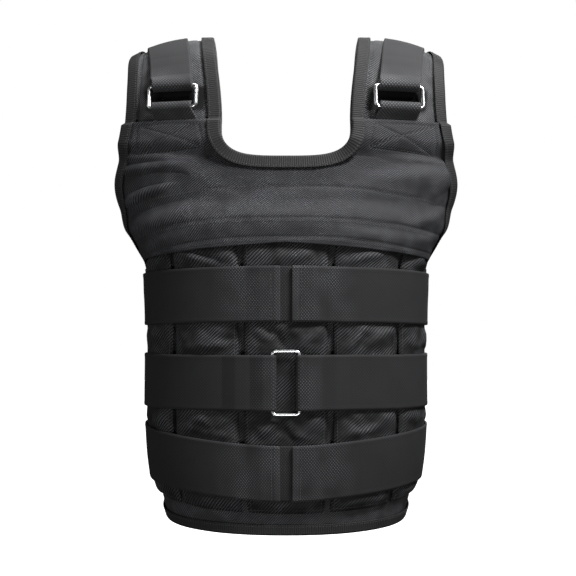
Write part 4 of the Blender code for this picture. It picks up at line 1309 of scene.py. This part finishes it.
# %% Loop patches
def patch(name, node, centre, dip):
    """Loop webbing under the ends of a pair of belts."""
    u = np.linspace(-PATCH_WIDTH / 2, PATCH_WIDTH / 2, 40)
    v = np.linspace(0.5, -0.5, 40)[:, None]
    around = u / torso.quarter
    run = torso.run_at(belt_drop(around, centre, dip))[None, :] + v * BELT_WIDTH
    place = torso.point(around[None, :] + 0 * v, run, 0 * run + ON_POCKETS)
    flat = np.stack([u[None, :] + 0 * v, v * BELT_WIDTH + 0 * u[None, :]], -1)
    cloth(name, node, [(place, flat, 0.3)], PATCH_THICK, loop_webbing)


for level, drop, dip in (("top", TOP_BELT_DROP, TOP_BELT_DIP),
                         ("bottom", BOTTOM_BELT_DROP, BOTTOM_BELT_DIP)):
    patch(f"{level}_patch_webbing", f"{level}_patch", drop, dip)

# %% [markdown]
# ## Rings
# Each ring is bent from round wire with tight corners. A circle swept along a rounded
# rectangle gives it, in the plane that lies on the cloth at its place.

# %% Ring frames
def frame_on(point, across, out):
    """Matrix with its X across, its Y up the cloth and its Z out of it."""
    across, out = Vector(across), Vector(out)
    across = (across - out * across.dot(out)).normalized()
    turn = Matrix((across, out.cross(across), out)).transposed().to_4x4()
    return Matrix.Translation(Vector(point)) @ turn


def strap_frame():
    """Matrix of the right shoulder's rings."""
    run = torso.run_at(RING_DROP)
    around = torso.around_at(STRAP_CENTRE, run)
    out = torso.normal(around, run)
    across = torso.bare(around + 0.02, run) - torso.bare(around - 0.02, run)
    return frame_on(torso.bare(around, run) + out * RING_STANDOFF, across, out)


# %% Wire rings
def ring_mesh(name, width, length, matrix):
    """Round wire along a rounded rectangle, placed by a matrix."""
    half_width = (width - RING_WIRE) / 2 - RING_CORNER
    half_length = (length - RING_WIRE) / 2 - RING_CORNER
    path, beside = [], []
    for corner in range(4):
        side_x = 1 if corner in (0, 3) else -1
        side_y = 1 if corner in (0, 1) else -1
        for turn in np.radians(90 * corner + np.linspace(0, 90, 13)):
            away = np.array([math.cos(turn), math.sin(turn), 0])
            path.append(np.array([side_x * half_width, side_y * half_length, 0])
                        + away * RING_CORNER)
            beside.append(away)
    path, beside = np.array(path), np.array(beside)
    turns = np.linspace(0, 2 * math.pi, 25)[:-1]
    rows = [path + RING_WIRE / 2 * (math.cos(t) * beside + math.sin(t) * np.array([0, 0, 1]))
            for t in turns]
    place = np.stack(rows, 1)
    count, section = place.shape[:2]
    index = np.arange(count * section).reshape(count, section)
    onward, round_it = np.roll(index, -1, 0), np.roll(index, -1, 1)
    quads = np.stack([index, onward, np.roll(onward, -1, 1), round_it], -1).reshape(-1, 4)
    places = place.reshape(-1, 3) @ np.array(matrix.to_3x3()).T + np.array(matrix.translation)
    flat = np.zeros((len(places), 2))
    return to_object(name, places, quads, flat, np.zeros(len(places)), ring_chrome)


def mirror_mesh(made):
    """Mirror a mesh in X and turn its faces out again."""
    made.data.transform(Matrix.Scale(-1, 4, (1, 0, 0)))
    made.data.flip_normals()


# %% The five rings
LOW_BAR = PAD_THICK + STRAP_THICK + 2 * LAYER_GAP + RING_WIRE / 2
HIGH_BAR = LOW_BAR + RING_WIRE + LAYER_GAP
ring_width = STRAP_WIDTH + 2 * RING_WIRE + 2 * RING_SIDE_PLAY
for level, lift, play in (("under", LOW_BAR, RING_PLAY), ("over", HIGH_BAR, -RING_PLAY)):
    for word in HANDS.values():
        node = f"shoulder_ring_{level}_{word}"
        made = ring_mesh(node + "_wire", ring_width, SHOULDER_RING_LENGTH,
                         strap_frame() @ Matrix.Translation((0, play, lift)))
        if word == "left":
            mirror_mesh(made)
        settle(made, node)

lift = ON_POCKETS + BELT_THICK + LAYER_GAP + RING_WIRE / 2
middle_run = torso.run_at(MIDDLE_BELT_DROP)
place = frame_on(torso.point(0.0, middle_run, lift), (1, 0, 0), torso.normal(0.0, middle_run))
settle(ring_mesh("middle_ring_wire", BELT_RING_WIDTH,
                 BELT_WIDTH + 2 * RING_WIRE + 2 * RING_SIDE_PLAY, place), "middle_ring")

# %% [markdown]
# ## Shoulder webbing
# The upper strap lies over the pad, turns round the rings' upper bars and comes back under
# itself. The lower one turns round the lower bars and goes under the yoke. Near the rings
# the strips are laid in the rings' plane, and beyond it on the pad.

# %% Straps
STRAP_TAIL, STRAP_LOWER_TAIL, STRAP_TUCK, STRAP_PAD_GAP = 0.020, 0.0035, 0.018, 1.0 * MM
STRAP_COLUMNS = np.linspace(-0.5, 0.5, 30)
STRAP_STEP = 0.0012


def strap_rows(runs, lift):
    """Points across a strap on the pad, at signed runs that are positive on the back."""
    back = runs > 0
    run = np.abs(runs)
    slant = STRAP_TOP_CENTRE - STRAP_CENTRE
    centre = STRAP_TOP_CENTRE - slant * run / torso.run_at(RING_DROP)
    around = torso.around_at(centre, run)
    metric = np.linalg.norm(torso.bare(around + 0.01, run) - torso.bare(around - 0.01, run),
                            axis=1)
    place = around[:, None] + STRAP_COLUMNS * (STRAP_WIDTH / metric * 0.02)[:, None]
    edge = 0.15 * MM * np.exp(-((np.abs(STRAP_COLUMNS) - 0.465) / 0.025) ** 2)
    return torso.point(np.where(back[:, None], 2 - place, place), run[:, None] + 0 * place,
                       lift + edge[None, :] + 0 * place)


def ring_rows(up, lift):
    """Points across a strap near the rings, in the rings' own plane."""
    matrix = np.array(strap_frame())
    local = np.stack(np.broadcast_arrays(STRAP_COLUMNS[None, :] * STRAP_WIDTH, up[:, None],
                                         lift[:, None]), -1)
    return local @ matrix[:3, :3].T + matrix[:3, 3]


def strap(name, node, place, hand):
    """A strap from its rows of points on the right, turned over for the left."""
    middle = place[:, place.shape[1] // 2]
    long = length_along(np.linalg.norm(np.diff(middle, axis=0), axis=1))
    flat = np.stack(np.broadcast_arrays(long[:, None], STRAP_COLUMNS[None, :] * STRAP_WIDTH), -1)
    # Painted light: the strap is paler along its woven edges.
    painted_shading = 0.25 + 0.5 * ease(np.abs(STRAP_COLUMNS), 0.45, 0.49)[None, :] + 0 * long[:, None]
    grid = turned(place * MIRROR, flat, painted_shading) if hand == -1 else (place, flat, painted_shading)
    cloth(name, node, [grid], STRAP_THICK, strap_webbing)


def strap_sheet(path):
    """Rows of a strap: in the rings' plane at the bars, and on the pad away from them."""
    up, lift, _ = evenly(path, STRAP_STEP)
    on_pad = ease(np.abs(up), bar + 0.001, bar + 0.010)[:, None, None]
    return ring_rows(up, lift) * (1 - on_pad) + strap_rows(up - ring_run, lift[:, None]) * on_pad


# %% The four straps
reach = RING_WIRE / 2 + LAYER_GAP + RING_PLAY
bar = (SHOULDER_RING_LENGTH - RING_WIRE) / 2
behind = PAD_THICK + LAYER_GAP + STRAP_THICK
over_tail = behind + LAYER_GAP
pad_lift = PAD_THICK + STRAP_PAD_GAP
ring_run, stub_run = torso.run_at(RING_DROP), torso.run_at(STUB_DROP)
turn = (arc_round(bar, LOW_BAR, reach, range(-90, 1, 15))
        + arc_round(bar, HIGH_BAR, reach, range(0, 91, 15)))

upper = strap_sheet([(bar + STRAP_TAIL, behind), *turn,
                     (bar + 0.004, HIGH_BAR + reach - LAYER_GAP),
                     (bar + STRAP_TAIL / 2, (HIGH_BAR + over_tail) / 2 + LAYER_GAP),
                     (bar + STRAP_TAIL + 0.003, over_tail), (bar + STRAP_TAIL + 0.015, pad_lift),
                     (ring_run + stub_run + STRAP_TUCK, pad_lift)])
lower_end = stub_run - ring_run
lower = strap_sheet([(-bar - STRAP_LOWER_TAIL, behind), *[(-up, lift) for up, lift in turn],
                     (-bar - 0.002, HIGH_BAR + reach - LAYER_GAP / 2),
                     (-lower_end + 0.001, pad_lift + LAYER_GAP),
                     (-lower_end - STRAP_TUCK, pad_lift)])[:, ::-1]

for hand, word in HANDS.items():
    strap(f"upper_webbing_{word}_strap", f"upper_webbing_{word}", upper, hand)
    strap(f"lower_webbing_{word}_strap", f"lower_webbing_{word}", lower, hand)

# %% [markdown]
# ## Stitches
# A seam line is a chain of points cast from outside onto the finished cloth, each with
# the cloth's own direction outward. A node tree lays a short thread on every pitch of a
# chain. All seams of the vest are one piece of thread.

# %% Seam lines
seam_points, seam_out, seam_edges = [], [], []
CAST_FROM, LONGEST_JUMP, STITCH_ROW_GAP = 0.040, 0.007, 0.0032


def tree_of(piece):
    """Search tree of a finished piece, to cast rays at."""
    mesh = bpy.data.objects[piece].data
    return BVHTree.FromPolygons([v.co[:] for v in mesh.vertices],
                                [p.vertices[:] for p in mesh.polygons])


def seam(piece_tree, around, run):
    """Cast one seam line onto a piece. Where it misses or jumps, the line is cut."""
    around, run = np.broadcast_arrays(np.asarray(around, float), np.asarray(run, float))
    outside = torso.point(around, run, np.full(run.shape, CAST_FROM))
    inward = torso.bare(around, run) - outside
    last = None
    for start, way in zip(outside, inward):
        start, way = Vector(start), Vector(way)
        spot, out, _, _ = piece_tree.ray_cast(start, way.normalized(), 2 * CAST_FROM)
        if spot is None or out.dot(way) > 0:
            last = None
            continue
        seam_points.append(spot)
        seam_out.append(out)
        if last is not None and (spot - seam_points[last]).length < LONGEST_JUMP:
            seam_edges.append((last, len(seam_points) - 1))
        last = len(seam_points) - 1


def straight(start, end, many=60):
    """Places and runs between two points, given as distance from the centre and drop."""
    share = np.linspace(0, 1, many)
    u = start[0] + share * (end[0] - start[0])
    return u / torso.quarter, torso.run_at(start[1] + share * (end[1] - start[1]))


front, rear = tree_of("front_yoke_cloth"), tree_of("back_yoke_cloth")
for line in YOKE_SEAMS:
    half_width, rows = line[2:]
    for row in range(rows):
        u = np.linspace(-half_width, half_width, 240)
        run = torso.run_at(seam_drop(line, u) + row * STITCH_ROW_GAP)
        seam(front, u / torso.quarter, run)
        seam(rear, 2 - np.abs(u) / torso.quarter * 1.0001, run)
        seam(rear, np.abs(u) / torso.quarter - 2, run)
for first, second in BOX_LINES:
    around, run = straight(BOX_CORNERS[first], BOX_CORNERS[second])
    for hand in HANDS:
        seam(front, around * hand, run)
        seam(rear, (2 - around) * hand, run)


# %% A line beside an edge
def inset(around, run, step, side):
    """A line beside an edge, a step inside it."""
    rail = torso.bare(around, run)
    along = np.gradient(rail, axis=0)
    inward = unit(np.cross(along, torso.normal(around, run))) * side
    return shifted(around, run, inward * step)


# %% Rows of stitches on the pockets
def pocket_seams(piece, start, end, hand, end_lift):
    """Rows down both sides of a pocket and along its foot."""
    piece_tree = tree_of(piece)
    first = torso.run_at(POCKET_STITCH_TOP)
    for u in (start + POCKET_STITCH_IN, end - POCKET_STITCH_IN):
        line = np.full(200, u / torso.quarter)
        last = torso.run_at(POCKET_END_DROP - end_lift * line[0] ** 2) - POCKET_CORNER_IN
        seam(piece_tree, line * hand, np.linspace(first, last, 200))
    line = np.linspace(start + POCKET_CORNER_IN, end - POCKET_CORNER_IN, 60) / torso.quarter
    foot = torso.run_at(POCKET_END_DROP - end_lift * line ** 2) - POCKET_STITCH_IN
    seam(piece_tree, line * hand, foot)


# %% Rows of stitches on tape, pads and belts
TAPE_STITCH_IN, BELT_STITCH_AT, BELT_STITCH_HALF = 0.0018, 0.0135, 0.46
POCKET_STITCH_IN, POCKET_CORNER_IN, POCKET_STITCH_TOP = 0.0026, 0.0030, 0.186
neck_line = inset(*edge_places(True, 5), NECK_WIDTH - TAPE_STITCH_IN, 1)
arm_around, arm_run = inset(*edge_places(False, 0), ARMHOLE_WIDTH - TAPE_STITCH_IN, -1)
hem_around = np.linspace(0, 2, 400)
hem_run = torso.run_at(BODY_DROP) - hem_rise(hem_around) - HEM_WIDTH + TAPE_STITCH_IN
for hand, word in HANDS.items():
    seam(tree_of("neck_binding_tape"), neck_line[0] * hand, neck_line[1])
    seam(tree_of(f"armhole_binding_{word}_tape"), arm_around * hand, arm_run)
    seam(tree_of("hem_binding_tape"), hem_around * hand, hem_run)
    pad_tree = tree_of(f"shoulder_pad_{word}_foam")
    for back in (False, True):
        inner, rail_run, outer, _ = pad_rails(np.linspace(0.02, 1, 60), back)
        step = PAD_SEAM_IN / torso.quarter
        for line in (inner + step, outer - step):
            seam(pad_tree, (2 - line if back else line) * hand, rail_run)
    pocket_seams(f"pocket_mid_{word}_cloth", mid, mid + POCKET_MID_WIDTH, hand, POCKET_END_LIFT)
    pocket_seams(f"pocket_side_{word}_cloth", side, side + POCKET_SIDE_WIDTH, hand,
                 POCKET_END_LIFT)
    for level, _, drop, dip, _, hem_at in BELT_ROWS:
        if hem_at is not None:
            across = np.linspace(-BELT_STITCH_HALF, BELT_STITCH_HALF, 40) * BELT_WIDTH
            place = np.full(40, BELT_STITCH_AT / torso.quarter)
            seam(tree_of(f"{level}_{word}_webbing"), place * hand,
                 torso.run_at(belt_drop(place, drop, dip)) + across)
pocket_seams("pocket_centre_cloth", -POCKET_HALF_CENTRE, POCKET_HALF_CENTRE, 1, 0.0)
print("seam points", len(seam_points))


# %% Thread by geometry nodes
def stitch_tree():
    """Short threads on every pitch of a chain, flat on the cloth."""
    tree = bpy.data.node_groups.new("stitches", "GeometryNodeTree")
    tree.interface.new_socket("Lines", in_out="INPUT", socket_type="NodeSocketGeometry")
    for word in ("Pitch", "Length", "Width", "Height"):
        tree.interface.new_socket(word, in_out="INPUT", socket_type="NodeSocketFloat")
    tree.interface.new_socket("Thread", in_out="INPUT", socket_type="NodeSocketMaterial")
    tree.interface.new_socket("Stitches", in_out="OUTPUT", socket_type="NodeSocketGeometry")

    given = add_node(tree, "NodeGroupInput").outputs
    chains = add_node(tree, "GeometryNodeMeshToCurve", Mesh=given["Lines"])
    even = add_node(tree, "GeometryNodeResampleCurve", {"mode": "LENGTH"},
                    Curve=chains.outputs[0], Length=given["Pitch"])
    ball = add_node(tree, "GeometryNodeMeshUVSphere", Segments=6, Rings=4, Radius=0.5)
    size = add_node(tree, "ShaderNodeCombineXYZ", X=given["Length"], Y=given["Width"],
                    Z=given["Height"])
    long = add_node(tree, "GeometryNodeTransform", Geometry=ball.outputs[0],
                    Scale=size.outputs[0])
    along = add_node(tree, "GeometryNodeInputTangent")
    out = add_node(tree, "GeometryNodeInputNamedAttribute", {"data_type": "FLOAT_VECTOR"},
                   Name="out")
    lie = add_node(tree, "FunctionNodeAlignRotationToVector", {"axis": "X"},
                   Vector=along.outputs[0])
    stand = add_node(tree, "FunctionNodeAlignRotationToVector",
                     {"axis": "Z", "pivot_axis": "X"}, Rotation=lie.outputs[0],
                     Vector=out.outputs[0])
    laid = add_node(tree, "GeometryNodeInstanceOnPoints", Points=even.outputs[0],
                    Instance=long.outputs[0], Rotation=stand.outputs[0])
    real = add_node(tree, "GeometryNodeRealizeInstances", Geometry=laid.outputs[0])
    dyed = add_node(tree, "GeometryNodeSetMaterial", Geometry=real.outputs[0],
                    Material=given["Thread"])
    add_node(tree, "NodeGroupOutput", Stitches=dyed.outputs[0])
    return tree


# %% Laying the stitches
STITCH = {"Pitch": 3.1 * MM, "Length": 2.4 * MM, "Width": 0.75 * MM, "Height": 0.55 * MM,
          "Thread": thread}
chain_mesh = bpy.data.meshes.new("seam_chains")
chain_mesh.from_pydata([point[:] for point in seam_points], seam_edges, [])
outward = chain_mesh.attributes.new("out", "FLOAT_VECTOR", "POINT")
outward.data.foreach_set("vector", np.array([out[:] for out in seam_out]).reshape(-1))
chains = bpy.data.objects.new("seam_chains", chain_mesh)
bpy.context.scene.collection.objects.link(chains)
laying = chains.modifiers.new("stitches", "NODES")
laying.node_group = stitch_tree()
for item in laying.node_group.interface.items_tree:
    if item.in_out == "INPUT" and item.name in STITCH:
        laying[item.identifier] = STITCH[item.name]
chains.update_tag()
bpy.context.view_layer.update()
evaluated = chains.evaluated_get(bpy.context.evaluated_depsgraph_get())
stitch_mesh = bpy.data.meshes.new_from_object(evaluated)
bpy.data.objects.remove(chains)
stitch_mesh.name = "seam_stitches_thread"
stitches = bpy.data.objects.new("seam_stitches_thread", stitch_mesh)
bpy.context.scene.collection.objects.link(stitches)
stitch_mesh.shade_smooth()
settle(stitches, None)
